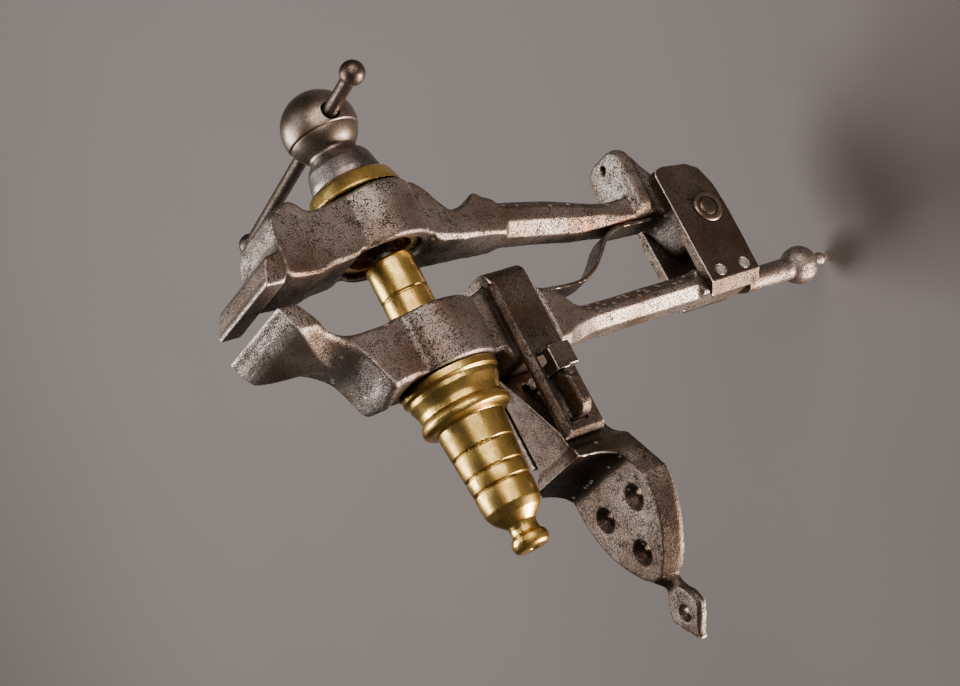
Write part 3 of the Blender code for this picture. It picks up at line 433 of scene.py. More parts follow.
def eased_outline(points, radius, steps=3):
    """The outline with each sharp corner replaced by a small arc."""
    out = [points[0]]
    for before, here, after in zip(points, points[1:], points[2:]):
        a, b = Vector(before) - Vector(here), Vector(after) - Vector(here)
        reach = min(radius, a.length * 0.45, b.length * 0.45)
        if reach < 0.02 or a.angle(b, math.pi) > math.radians(168):
            out.append(here)
            continue
        start, end = Vector(here) + a.normalized() * reach, Vector(here) + b.normalized() * reach
        for k in range(steps + 1):
            t = k / steps
            out.append(tuple(start * (1 - t) ** 2 + Vector(here) * 2 * t * (1 - t) + end * t ** 2))
    return out + [points[-1]]


def ball(centre, radius, start, stop, count):
    """Profile points on a ball between two distances along its axis."""
    first = math.acos(max(-1.0, min(1.0, (start - centre) / radius)))
    last = math.acos(max(-1.0, min(1.0, (stop - centre) / radius)))
    return [(centre + radius * math.cos(first + (last - first) * k / count),
             radius * math.sin(first + (last - first) * k / count)) for k in range(count + 1)]


print("lathe ready")

# %% [markdown]
# ## Flat shapes
# Straps, keys and plates are a flat outline with a thickness: a filled 2D curve with extrude.

# %% Flat shapes
def plate(name, outlines, low, high, axis, place=None):
    """Outline and holes, in mm, filled and thickened from low to high along an axis."""
    curve = bpy.data.curves.new(name, "CURVE")
    curve.dimensions = "2D"
    curve.fill_mode = "BOTH"
    curve.extrude = (high - low) / 2 * MM
    for outline in outlines:
        spline = curve.splines.new("POLY")
        spline.points.add(len(outline) - 1)
        for point, (a, b) in zip(spline.points, outline):
            point.co = (a * MM, b * MM, 0.0, 1.0)
        spline.use_cyclic_u = True
    made = frozen(linked(name, curve))
    for v in made.data.vertices:
        a, b, h = v.co / MM
        h += (low + high) / 2
        point = {"X": (h, a, b), "Y": (a, h, b), "Z": (a, b, h)}[axis]
        v.co = put(place(point) if place else point)
    outward(made.data)
    return made


def block(name, corner_a, corner_b):
    """Box between two corners."""
    low, high = put(corner_a), put(corner_b)
    shape = bmesh.new()
    bmesh.ops.create_cube(shape, size=1.0)
    for v in shape.verts:
        v.co = Vector([a + (b - a) * (c + 0.5) for a, b, c in zip(low, high, v.co)])
    mesh = bpy.data.meshes.new(name)
    shape.to_mesh(mesh)
    shape.free()
    return linked(name, mesh)


def slot_ring(half_x, half_z, lift, steps=24):
    """Upright slot outline with round ends."""
    ring = []
    for k in range(2 * steps + 2):
        upper = k <= steps
        angle = math.pi * (k if upper else k - 1) / steps
        ring.append((half_x * math.cos(angle), lift + (half_z - half_x) * (1 if upper else -1)
                     + half_x * math.sin(angle)))
    return ring


print("plates ready")

# %% [markdown]
# ## Forged shapes
# A smith draws out a leg from a bar: its section changes from a wide jaw to a narrow neck, a round
# boss, a chamfered bar and a round foot. So a leg is a run of level sections, each with a front, a
# back, a half width and a corner, and smooth curves in between.

# %% Forged shapes
def section(z, front, back, half, corner, round_off, steps=4):
    """Level section: a rectangle whose corners are cut flat (0) or rounded (1)."""
    depth = (back - front) / 2
    corner = min(corner, half, depth)
    ring = []
    for quarter, (sx, sy) in enumerate(((1, 1), (-1, 1), (-1, -1), (1, -1))):
        for k in range(steps + 1):
            angle = math.radians(90.0 * quarter + 90.0 * k / steps)
            t = k / steps if quarter % 2 == 0 else 1 - k / steps
            flat, arc = ((1 - t) * sx, t * sy), (math.cos(angle), math.sin(angle))
            ux = flat[0] + (arc[0] - flat[0]) * round_off
            uy = flat[1] + (arc[1] - flat[1]) * round_off
            ring.append((sx * (half - corner) + corner * ux,
                         (front + back) / 2 + sy * (depth - corner) + corner * uy, z))
    return ring


def between(rows, step):
    """Extra stations on monotone cubics between the given ones, about step apart."""
    def slope(i, j):
        if i == 0 or i == len(rows) - 1:
            return 0.0
        before = (rows[i][j] - rows[i - 1][j]) / (rows[i][0] - rows[i - 1][0])
        after = (rows[i + 1][j] - rows[i][j]) / (rows[i + 1][0] - rows[i][0])
        return 0.0 if before * after <= 0 else 2 * before * after / (before + after)

    out = []
    for i in range(len(rows) - 1):
        reach = rows[i + 1][0] - rows[i][0]
        parts = max(1, round(abs(reach) / step))
        for k in range(parts):
            t = k / parts
            row = [rows[i][0] + t * reach]
            for j in range(1, len(rows[0])):
                p0, p1 = rows[i][j], rows[i + 1][j]
                m0, m1 = slope(i, j) * reach, slope(i + 1, j) * reach
                row.append((2 * t**3 - 3 * t**2 + 1) * p0 + (t**3 - 2 * t**2 + t) * m0
                           + (3 * t**2 - 2 * t**3) * p1 + (t**3 - t**2) * m1)
            out.append(row)
    out.append(list(rows[-1]))
    return out


def lofted(name, rings, place=None):
    """Closed body through rings that have the same number of points."""
    shape = bmesh.new()
    rows = [[shape.verts.new(put(place(p) if place else p)) for p in ring] for ring in rings]
    count = len(rows[0])
    for low, high in zip(rows, rows[1:]):
        for i in range(count):
            shape.faces.new((low[i], low[(i + 1) % count], high[(i + 1) % count], high[i]))
    shape.faces.new(rows[0][::-1])
    shape.faces.new(rows[-1])
    mesh = bpy.data.meshes.new(name)
    shape.to_mesh(mesh)
    shape.free()
    outward(mesh)
    return linked(name, mesh)


def eye_half(z, radius, neck):
    """Half width of a leg's round boss at height z from the screw axis."""
    return max(neck, math.sqrt(max(0.0, radius**2 - z**2)))


print("forge ready")

# %% [markdown]
# ## The fixed leg
# The vise's backbone: the jaw's gripping face at the top, a fanned back that narrows to the horn,
# a round eye for the screw box, a flat seat for the strap, a bar with chamfered corners that end in
# points, and a turned foot. Its stations follow the plain solid's.

# %% Fixed leg
JAW_HALF, JAW_TOP, FACE = 16.6, 49.5, 6.0
NECK, BAR, CHAMFER = 10.2, 6.4, 3.2
FIXED_EYE_R, FIXED_FRONT, FIXED_BACK = 15.4, -12.8, 4.8
CHEEK_TOP, CHEEK_LOW = -91.4, -110.2
FOOT_Y = 4.2

RIDGE = (                    # z, half width of the flat left between the two bevels, fall
    (46.0, 16.0, 0.0), (43.5, 13.2, 1.6), (41.0, 9.5, 3.0), (37.0, 4.6, 3.4), (33.0, 0.6, 3.2),
    (25.0, 0.4, 2.6), (21.8, 0.4, 2.2), (16.4, 0.2, 0.6), (14.6, 0.0, 0.0))


def ridge_at(z):
    """Flat half width and fall of the bevels on the jaw's back."""
    for (top, *upper), (bottom, *lower) in zip(RIDGE, RIDGE[1:]):
        if top >= z >= bottom:
            t = (top - z) / (top - bottom)
            return [a + (b - a) * t for a, b in zip(upper, lower)]
    return [0.0, 0.0]


def ridged(ring):
    """Section whose back falls away either side of a ridge."""
    z = ring[0][2]
    flat, fall = ridge_at(z)
    front, back = min(p[1] for p in ring), max(p[1] for p in ring)
    corner = len(ring) // 4
    lowered = [(x, y - fall if y > (front + back) / 2 else y, z) for x, y, z in ring]
    return lowered[:corner] + [(flat, back, z), (-flat, back, z)] + lowered[corner:]


face_low = JAW_TOP - FACE
rows = [                     # z, front, back, half width, corner, roundness
    (JAW_TOP, GRIP_Y, GRIP_Y + 1.0, JAW_HALF, 0.3, 0),
    (JAW_TOP - 1.5, GRIP_Y, GRIP_Y + 4.6, JAW_HALF, 0.5, 0),
    (JAW_TOP - 3.5, GRIP_Y, GRIP_Y + 7.8, JAW_HALF, 0.7, 0),
    (face_low, GRIP_Y, GRIP_Y + 9.6, JAW_HALF, 0.8, 0),
    (face_low - 2.5, GRIP_Y + 3.0, GRIP_Y + 11.1, JAW_HALF - 0.2, 1.0, 0),
    (38.8, -17.0, -9.9, 15.2, 1.0, 0), (36.5, -15.0, -8.8, 13.0, 1.2, 0),
    (33.0, -13.0, -6.8, 11.4, 1.2, 0), (28.0, -11.7, -2.6, 10.6, 1.2, 0),
    (25.0, -11.5, 3.0, 10.4, 1.0, 0), (23.2, -11.5, 7.4, 10.4, 0.9, 0), (21.8, -11.6, 8.1, 10.4, 0.8, 0),
    (19.8, -11.7, 6.8, 10.2, 1.0, 0), (16.4, -12.1, FIXED_BACK + 1.0, NECK, 1.2, 0),
    (14.6, -12.4, FIXED_BACK, NECK, 1.0, 0)]
for share in (0.85, 0.75, 0.58, 0.36, 0.18, 0.0, -0.18, -0.36, -0.58, -0.7):
    z = FIXED_EYE_R * share
    rows.append((z, FIXED_FRONT, FIXED_BACK, eye_half(z, FIXED_EYE_R, NECK), 0.7, 0))
rows += [
    (-12.0, FIXED_FRONT, FIXED_BACK, NECK, 0.8, 0), (-14.8, -13.3, FIXED_BACK, NECK, 1.2, 0),
    (-16.2, -13.7, 7.2, NECK - 0.3, 1.2, 0), (-18.1, -14.4, 8.3, 8.8, 1.0, 0),
    (-32.0, -14.4, 8.3, 8.8, 1.0, 0),
    (-33.9, -10.2, 8.3, 10.4, 1.6, 0), (-37.0, -9.6, 8.3, 10.0, 2.2, 0), (-41.0, -9.0, 7.6, 8.8, CHAMFER, 0),
    (-46.0, -4.6, 6.6, 7.4, CHAMFER, 0), (-51.0, -2.5, 5.8, BAR + 0.2, CHAMFER, 0),
    (-70.0, -2.5, 5.8, BAR, CHAMFER, 0), (CHEEK_TOP + 1.8, -2.5, 5.8, BAR, CHAMFER, 0),
    (CHEEK_TOP + 0.6, -2.5, 5.8, BAR, 1.0, 0), (CHEEK_LOW, -2.5, 5.8, BAR, 1.0, 0),
    (CHEEK_LOW - 0.8, FOOT_Y - 3.5, FOOT_Y + 3.5, 3.5, 3.5, 1),
    (-127.0, FOOT_Y - 3.5, FOOT_Y + 3.5, 3.5, 3.5, 1)]
for z, r in ball(-133.7, 5.9, -128.9, -139.3, 10):
    rows.append((z, FOOT_Y - r, FOOT_Y + r, r, r, 1))
for z, r in ((-139.6, 1.5), (-142.5, 2.1), (-145.0, 0.8)):
    rows.append((z, FOOT_Y - r, FOOT_Y + r, r, r, 1))
fixed = lofted("fixed_leg_forging", [ridged(section(*row)) for row in between(rows, 0.8)])
rivet_y, rivet_zs = 1.65, (CHEEK_TOP - 5.0, CHEEK_LOW + 4.6)
carve_out = [turned("eye_bore", [(12, 7.3), (-20, 7.3)]),
             block("key_seat", (-1.4, -4.3, 5.6), (1.4, 16.8, 8.9)),
             turned("spring_rivet_seat", [(-3.0, 1.5), (-14.6, 1.5)], at=(0, 0, -38.0), steps=24)]
carve_out += [turned("cheek_rivet_seat", [(20, 1.9), (-20, 1.9)], "X", (0, rivet_y, z), 24) for z in rivet_zs]
fixed = eased(carve(fixed, carve_out), 0.42, 4, hammer_mm=0.22, pit_mm=0.10)
finish(fixed, leg_iron, "frame", "forged_steel", "fixed_leg")

# %% [markdown]
# ## The moving leg
# The same forging in mirror, but its eye is an upright slot, so the leg can swing while the screw
# stays level. The washer rolls on the eye's rounded outer face. Below the eye the bar has a small
# bump left by the hammer, and a lug with a hole stands out near the hinge. The back of the bar,
# where the leaf spring rubs, gets a second material face by face: rust spots, on a darker base
# that is painted shade.

# %% Moving leg
SHUT = GRIP_Y - 0.3
EYE_R, INNER, OUTER, ROCKER_R = 14.4, -29.0, -46.6, 60.0
LUG_TOP, LUG_FRONT, LUG_HALF, THIN_BACK = -82.4, -44.4, 8.5, -21.7


def rocker(z):
    """Outer face of the moving eye at height z."""
    return OUTER + ROCKER_R - math.sqrt(ROCKER_R**2 - z**2)


rows = [                     # z, front, back, half width, corner, roundness, drawn with the jaws shut
    (JAW_TOP, SHUT - 1.0, SHUT, JAW_HALF, 0.3, 0), (JAW_TOP - 1.5, SHUT - 4.6, SHUT, JAW_HALF, 0.5, 0),
    (JAW_TOP - 3.0, SHUT - 7.9, SHUT, JAW_HALF, 0.7, 0), (face_low, SHUT - 8.8, SHUT, JAW_HALF, 0.8, 0),
    (face_low - 1.9, SHUT - 9.4, SHUT - 2.6, JAW_HALF - 0.3, 1.0, 0),
    (face_low - 3.5, SHUT - 10.9, SHUT - 4.0, JAW_HALF - 1.6, 1.0, 0),
    (38.6, -36.0, -26.0, 12.8, 1.0, 0), (37.6, -40.6, -25.6, 11.8, 1.0, 0),
    (36.6, -43.4, -25.4, 11.2, 1.0, 0),
    (33.0, -46.0, -25.1, 10.7, 1.0, 0), (28.4, -47.4, -25.1, 10.4, 0.8, 0),
    (26.6, -46.4, -25.4, 10.4, 0.8, 0),
    (24.6, -44.2, -26.0, 10.3, 1.0, 0), (22.0, -43.8, -26.6, 10.2, 1.2, 0),
    (18.5, rocker(14.0) + 0.6, -27.0, NECK, 1.0, 0), (14.0, rocker(14.0), -28.0, NECK, 0.8, 0)]
for share in (0.88, 0.74, 0.58, 0.36, 0.18, 0.0, -0.18, -0.36, -0.58, -0.7):
    z = EYE_R * share
    rows.append((z, rocker(z), INNER, eye_half(z, EYE_R, NECK), 0.7, 0))
rows += [
    (-11.5, rocker(11.5), -27.9, NECK, 0.9, 0), (-14.0, rocker(14.0) + 0.4, -27.0, 9.6, 1.6, 0),
    (-17.5, -39.4, -26.7, 9.0, 1.4, 0), (-21.0, -36.0, -26.5, 8.4, 1.2, 0),
    (-27.4, -37.4, -26.3, 7.8, 1.0, 0),
    (-31.0, -39.8, -26.1, 7.4, 0.8, 0), (-33.4, -38.2, -25.9, 7.1, 0.8, 0),
    (-36.0, -37.3, -25.7, 6.9, 1.0, 0),
    (-38.4, -36.9, -25.4, BAR + 0.3, CHAMFER + 0.4, 0), (-53.0, -34.6, -23.4, BAR, CHAMFER + 0.4, 0),
    (-62.7, -32.2, -22.0, BAR, CHAMFER + 0.2, 0), (-70.0, -29.8, THIN_BACK, BAR, CHAMFER - 0.4, 0),
    (-76.0, -28.6, THIN_BACK, BAR, 1.2, 0), (LUG_TOP + 1.0, -28.6, THIN_BACK, BAR, 0.8, 0),
    (LUG_TOP - 0.4, LUG_FRONT + 0.8, THIN_BACK, LUG_HALF - 0.3, 4.6, 1),
    (LUG_TOP - 2.6, LUG_FRONT, THIN_BACK, LUG_HALF, 5.0, 1),
    (LUG_TOP - 4.8, LUG_FRONT + 0.6, THIN_BACK, LUG_HALF - 0.3, 4.6, 1),
    (LUG_TOP - 6.0, LUG_FRONT + 2.2, THIN_BACK, BAR, 1.0, 0), (CHEEK_TOP - 1.0, -35.4, -19.8, BAR, 0.8, 0),
    (CHEEK_TOP - 4.0, -31.6, -14.5, BAR, 0.6, 0), (-98.0, -28.6, -10.8, BAR, 0.6, 0)]
pivot_y, pivot_z = PIVOT.y, PIVOT.z
rows += [(pivot_z, pivot_y - 8.6, pivot_y + 8.2, BAR, 0.6, 0),
         (pivot_z - 4.0, pivot_y - 7.2, pivot_y + 7.2, BAR, 0.6, 0),
         (pivot_z - 6.8, pivot_y - 4.4, pivot_y + 4.4, BAR, 0.6, 0),
         (pivot_z - 7.9, pivot_y - 1.6, pivot_y + 1.6, BAR, 0.6, 0)]
moving = lofted("moving_leg_forging", [section(*row) for row in between(rows, 0.8)], opened)
SLOT_X, SLOT_Z, LIFT = 11.4, 12.2, 1.6
slot = plate("moving_eye_slot", [slot_ring(SLOT_X, SLOT_Z, LIFT)], -60, -16, "Y", opened)
pin_hole = turned("pin_hole", [(12, 3.3), (-12, 3.3)], "X", PIVOT, 48)
lug_hole = turned("lug_hole", [(LUG_TOP + 3, 1.4), (LUG_TOP - 6, 1.4)], "Z", (0, -41.3, 0), 32)
moving = eased(carve(moving, [slot, pin_hole, lug_hole]), 0.42, 4, hammer_mm=0.22, pit_mm=0.10)
finish(moving, leg_iron, "moving_jaw", "forged_steel", "moving_leg")
moving.data.materials.append(rusty_shaded_iron)
# in this stretch the leg's back faces get rust spots on a darker base that is painted shade
RUST_SHADE_FOOT, RUST_SHADE_HEAD = -92, -58      # the stretch of the leg's back that the spring rubs
rust_shade_low, rust_shade_high = put((0, 0, RUST_SHADE_FOOT)).z, put((0, 0, RUST_SHADE_HEAD)).z
# faces looking towards +Y take the material of rust and painted shade
for face in moving.data.polygons:
    if face.normal.y > 0.3 and rust_shade_low < face.center.z < rust_shade_high:
        face.material_index = 1

# %% [markdown]
# ## The brass lining of the moving eye
# A slotted brass sleeve, whose rear rim shows behind the eye and catches the light.

# %% Eye bush
bush = plate("brass_eye_bush",
             [slot_ring(SLOT_X - 0.3, SLOT_Z - 0.3, LIFT), slot_ring(SLOT_X - 2.9, SLOT_Z - 2.9, LIFT)],
             OUTER + 3.0, INNER - 1.6, "Y", opened)
bush = eased(bush, 0.3, 3)
finish(bush, washer_brass, "moving_jaw", "yellow_brass", "eye_bush")

# %% [markdown]
# ## The screw box
# The nut of the vise: a brass tube through the fixed eye, ringed mouldings against its back face,
# a barrel with three grooves and a small hollow finial. Its inside is the screw's thread, too deep
# to see, so it stays a plain bore.

# %% Screw box
TUBE_R, TUBE_FRONT, BODY_R, BOX_END = 7.0, -32.0, 9.9, 57.0
outline = [(BOX_END - 5.5, 1.2), (BOX_END - 0.4, 1.2), (BOX_END, 1.7), (BOX_END, 4.3), (BOX_END - 0.8, 5.1),
           (BOX_END - 2.2, 5.4), (BOX_END - 3.6, 5.1), (BOX_END - 4.6, 4.1), (BOX_END - 6.0, 3.9),
           (BOX_END - 7.6, 4.2), (BOX_END - 8.6, 5.4), (46.8, 7.0), (44.5, 8.1), (41.5, 8.4)]
for groove, r in ((38.2, BODY_R - 1.4), (33.7, BODY_R - 1.1), (27.0, BODY_R - 0.6)):
    outline += [(groove + 0.45, r), (groove + 0.15, r - 0.5), (groove - 0.15, r - 0.5),
                (groove - 0.4, r + 0.02)]
outline += [(18.8, BODY_R), (18.4, 11.6), (17.6, 12.9), (16.3, 13.2), (14.9, 12.7), (14.2, 12.0),
            (12.4, 12.1),
            (10.6, 12.7), (9.4, 13.2), (7.9, 13.3), (7.4, 14.2), (5.1, 14.2), (5.1, TUBE_R),
            (TUBE_FRONT + 11.6, TUBE_R), (TUBE_FRONT + 11.3, TUBE_R - 0.35),
            (TUBE_FRONT + 10.9, TUBE_R - 0.35),
            (TUBE_FRONT + 10.6, TUBE_R), (TUBE_FRONT + 0.6, TUBE_R), (TUBE_FRONT, TUBE_R - 0.6),
            (TUBE_FRONT, 5.2), (TUBE_FRONT + 0.4, 4.8), (39.0, 4.8), (43.0, 0.5)]
box = turned("brass_screw_box", eased_outline(outline, 0.35), steps=144)
box = carve(box, [block("box_key_seat", (-1.4, -4.3, 5.6), (1.4, 4.6, 8.9))])
finish(box, box_brass, "frame", "yellow_brass", "screw_box")

# %% [markdown]
# ## The screw
# Turned from one bar: a ball head drilled across for the handle, an engraved line round the ball, a
# tight waist and a collar that bears on the washer. The square thread is a ridge that climbs round
# the shank, so a Geometry Nodes tree draws it: a spiral path, swept with a small square.

# %% Screw head and shank
BALL_Y, BALL_R, THREAD_R, CORE_R = -75.4, 11.0, 4.5, 3.7
WASHER_BACK, WASHER_T = -51.1, 5.2
collar_back = WASHER_BACK - WASHER_T - 0.3
outline = [(25.6, 3.2), (25.0, CORE_R), (-42.0, CORE_R), (-42.6, THREAD_R), (collar_back, THREAD_R),
           (collar_back, 9.9), (collar_back - 0.4, 10.4), (collar_back - 1.9, 10.4), (collar_back - 4.2, 9.9),
           (-62.6, 9.5), (-64.2, 8.7), (-65.3, 7.5), (-66.3, 7.0), (-66.9, 7.1)]
outline += [(s, r - 0.2) for s, r in ball(BALL_Y, BALL_R, -67.8, -72.0, 8)]
outline += [(-72.15, math.sqrt(BALL_R**2 - 3.25**2) - 0.55), (-72.4, math.sqrt(BALL_R**2 - 3.0**2) - 0.05)]
outline += ball(BALL_Y, BALL_R, -72.6, BALL_Y - BALL_R + 0.03, 30)
screw = turned("steel_screw", eased_outline(outline, 0.3), steps=144)
TILT = 7.0
screw = carve(screw, [turned("bar_hole", [(16, 2.8), (-16, 2.8)], "X", (0, BALL_Y, 0), 48, TILT)])
mod = screw.modifiers.new("eased hole", "BEVEL")
mod.width, mod.segments, mod.limit_method, mod.angle_limit = 0.25 * MM, 2, "ANGLE", math.radians(50)
screw = frozen(screw)
finish(screw, head_steel, "screw", "turned_steel", "screw")
screw.data.materials.append(collar_steel)
for face in screw.data.polygons:
    if face.center.y > put((0, -66.4, 0)).y:
        face.material_index = 1

# %% Thread drawn by Geometry Nodes
def thread_tree():
    """A square ridge swept along a spiral; sizes in metres."""
    tree = bpy.data.node_groups.new("square_thread", "GeometryNodeTree")
    for name, kind, value in (("Pitch", "NodeSocketFloat", 4.0 * MM), ("Turns", "NodeSocketFloat", 16.0),
                              ("Path Radius", "NodeSocketFloat", 4.0 * MM),
                              ("Ridge", "NodeSocketFloat", 1.0 * MM),
                              ("Material", "NodeSocketMaterial", None)):
        socket = tree.interface.new_socket(name, in_out="INPUT", socket_type=kind)
        if value is not None:
            socket.default_value = value
    tree.interface.new_socket("Geometry", in_out="OUTPUT", socket_type="NodeSocketGeometry")
    given = add(tree, "NodeGroupInput").outputs
    height = add(tree, "ShaderNodeMath", {0: given["Pitch"], 1: given["Turns"]},
                 operation="MULTIPLY").outputs[0]
    path = add(tree, "GeometryNodeCurveSpiral", {"Resolution": 36, "Rotations": given["Turns"],
                                                 "Start Radius": given["Path Radius"],
                                                 "End Radius": given["Path Radius"],
                                                 "Height": height}).outputs[0]
    ridge = add(tree, "GeometryNodeCurvePrimitiveQuadrilateral",
                {"Width": given["Ridge"], "Height": given["Ridge"]}).outputs[0]
    swept = add(tree, "GeometryNodeCurveToMesh",
                {"Curve": path, "Profile Curve": ridge, "Fill Caps": True}).outputs[0]
    real = add(tree, "GeometryNodeRealizeInstances", {"Geometry": swept}).outputs[0]
    done = add(tree, "GeometryNodeSetMaterial", {"Geometry": real, "Material": given["Material"]}).outputs[0]
    add(tree, "NodeGroupOutput", {"Geometry": done})
    return tree


PITCH, TURNS, RIDGE = 4.0, 16.0, 1.2
thread = linked("square_thread_ridge", bpy.data.meshes.new("square_thread_ridge"))
mod = thread.modifiers.new("thread", "NODES")
mod.node_group = thread_tree()
sockets = {item.name: item.identifier for item in mod.node_group.interface.items_tree
           if item.in_out == "INPUT"}
for name, value in (("Pitch", PITCH * MM), ("Turns", TURNS),
                    ("Path Radius", (THREAD_R - RIDGE / 2 - 0.05) * MM),
                    ("Ridge", RIDGE * MM), ("Material", bar_steel)):
    mod[sockets[name]] = value
thread.rotation_euler.x = math.radians(-90)
thread.location = put((0, 24.0 - PITCH * TURNS, 0))
bpy.context.view_layer.update()
thread = frozen(thread)
outward(thread.data)
finish(thread, bar_steel, "screw", "turned_steel")

# %% [markdown]
# ## Washer, cross bar and its balls
# The brass washer is a shallow cone, wider towards the leg. The bar slides through the head; one
# ball is forged on it and the other was riveted on after the bar went through.

# %% Washer
outline = [(0.0, 4.8), (0.0, 13.3), (-0.4, 13.7), (-0.9, 13.7), (0.7 - WASHER_T, 12.5), (-WASHER_T, 11.9),
           (-WASHER_T, 4.8), (0.0, 4.8)]
washer = turned("brass_thrust_washer", eased_outline(outline, 0.25)[:-1], at=(0, WASHER_BACK, 0), steps=128,
                ring=True)
finish(washer, washer_brass, "washer", "yellow_brass", "thrust_washer")

# %% Cross bar and riveted ball
BAR_R, END_R, SHORT, LONG = 2.1, 3.6, 30.9, 72.5
shoulder = LONG - END_R - 0.3
neck = -SHORT + math.sqrt(END_R**2 - BAR_R**2)
outline = [(LONG + 1.6, 1.1), (LONG + 1.4, 1.3), (shoulder, 1.3), (shoulder, BAR_R), (neck + 0.8, BAR_R)]
outline += ball(-SHORT, END_R, neck, -SHORT - END_R + 0.02, 20)
bar = turned("steel_cross_bar", outline, "X", (0, BALL_Y, 0), 64, TILT)
finish(eased(bar, 0.25, 4, pit_mm=0.08), bar_steel, "bar", "turned_steel", "cross_bar")
outline = ball(LONG, END_R, LONG + END_R - 0.02, LONG - END_R + 0.25, 24)
end_ball = turned("steel_riveted_ball", outline, "X", (0, BALL_Y, 0), 64, TILT)
bore = turned("end_ball_bore", [(LONG + 1.9, 1.6), (shoulder - 3, 1.6)], "X", (0, BALL_Y, 0), 32, TILT)
end_ball = eased(carve(end_ball, [bore]), 0.25, 2, pit_mm=0.08)
finish(end_ball, bar_steel, "bar", "turned_steel", "cross_bar_end")

# %% [markdown]
# ## Strap, gib and wedge
# An iron strap goes round the front of the leg, and its slotted ends pass either side of the
# bracket's block. The hooked gib sits in the slot first; the wedge driven behind it pulls the two
# together.

# %% Strap
def bevel(side, half, edge, size):
    """Three-cornered cutter outline that bevels a plate's outer edge."""
    out, past = half + 1, edge + 1
    return [(side * out, past), (side * out, edge - size - 1), (side * (half - size - 1), past)]


STRAP_IN, STRAP_OUT, STRAP_FRONT, STRAP_END = 9.1, 12.1, -17.7, 34.6
STRAP_LOW, STRAP_TOP, SLOT_LOW, SLOT_TOP = -31.7, -18.4, -27.5, -22.7
bend, inner_bend = 4.0, 1.0
right = [(STRAP_OUT, STRAP_END)] + [
    (STRAP_OUT - bend + bend * math.cos(a), STRAP_FRONT + bend - bend * math.sin(a))
    for a in [math.radians(9.0 * k) for k in range(11)]]
inner = [(-STRAP_IN, STRAP_END), (-STRAP_IN, -13.7), (-STRAP_IN + inner_bend, -14.7),
         (STRAP_IN - inner_bend, -14.7), (STRAP_IN, -13.7), (STRAP_IN, STRAP_END)]
strap = plate("iron_strap", [right + [(-x, y) for x, y in right[::-1]] + inner], STRAP_LOW, STRAP_TOP, "Z")
cutters = [block("strap_slot", (-20, 9.6, SLOT_LOW), (20, 30.6, STRAP_TOP - 2.9))]
for side, word in ((-1, "left"), (1, "right")):
    cutters += [plate("top_bevel_" + word, [bevel(side, STRAP_OUT, STRAP_TOP, 1.5)], -13.7, STRAP_END + 2,
                      "Y"),
                plate("end_bevel_" + word, [bevel(side, STRAP_OUT, STRAP_END, 1.5)], STRAP_LOW - 2,
                      STRAP_TOP + 2, "Z")]
strap = carve(strap, cutters)
finish(eased(strap, 0.32, 3, hammer_mm=0.16, pit_mm=0.08), fitting_iron, "frame", "forged_steel", "strap")

# %% Gib
def gib_edge(x):
    """Back edge of the gib, which the wedge's slope follows."""
    return 16.6 - 1.2 / 31.0 * (x + 15.7)


key_low, key_high = SLOT_LOW + 0.3, SLOT_TOP - 0.3
near, far, hook, shoulder_x = 15.7, 15.3, 9.2, 12.4
outline = [(-near, hook + 0.8), (-near + 1.2, hook), (-shoulder_x, hook), (-shoulder_x, 12.7),
           (shoulder_x, 12.7),
           (shoulder_x, hook + 0.4), (far, hook + 0.4), (far, gib_edge(far)), (-near, gib_edge(-near))]
gib = plate("iron_gib", [outline], key_low, key_high, "Z")
head = block("gib_head", (-near, hook, key_low - 3.4), (-shoulder_x, 16.0, key_high - 0.6))
mod = gib.modifiers.new("head", "BOOLEAN")
mod.operation, mod.solver, mod.object = "UNION", "EXACT", head
gib = frozen(gib)
bpy.data.objects.remove(head, do_unlink=True)
finish(eased(gib, 0.28, 4, hammer_mm=0.15, pit_mm=0.08), fitting_iron, "frame", "forged_steel", "gib")

# %% Wedge
nose, tail, back = 17.9, 16.1, 30.3
outline = [(-nose, gib_edge(-nose) + 2.7), (-nose + 3.4, gib_edge(-nose + 3.4) + 0.3),
           (tail, gib_edge(tail) + 0.3),
           (tail, back), (-nose + 2.6, back), (-nose, back - 2.6)]
wedge = plate("iron_wedge", [outline], key_low, key_high, "Z")
mod = wedge.modifiers.new("filed edges", "BEVEL")
mod.width, mod.segments = 0.7 * MM, 1
wedge = frozen(wedge)
finish(eased(wedge, 0.28, 3, hammer_mm=0.12, pit_mm=0.08), fitting_iron, "wedge", "forged_steel", "wedge")

# %% [markdown]
# ## The bench bracket
# One forging: a block that fits between the strap's arms, a hollow that sweeps down to a leaf
# with a sloping border, and a pierced finial. Countersunk holes take wood screws.

# %% Bench bracket
UNDER, LEAF_TOP, BLOCK_UNDER = -screw_height / MM, -31.2, -33.6
WALL_BACK, LEAF_TIP, LEAF_HALF, NECK_LEAF = 40.5, 77.5, 20.0, 3.0
LEAF_BEVEL, LEAF_EDGE, FILLET, FINIAL_T = 2.8, 1.2, 6.0, 2.6


def leaf_half(t):
    """Half width of the leaf from its root (0) to its tip (1)."""
    return NECK_LEAF + (LEAF_HALF - NECK_LEAF) * math.sin(math.pi * (0.37 + 0.63 * min(t, 0.999))) ** 0.66


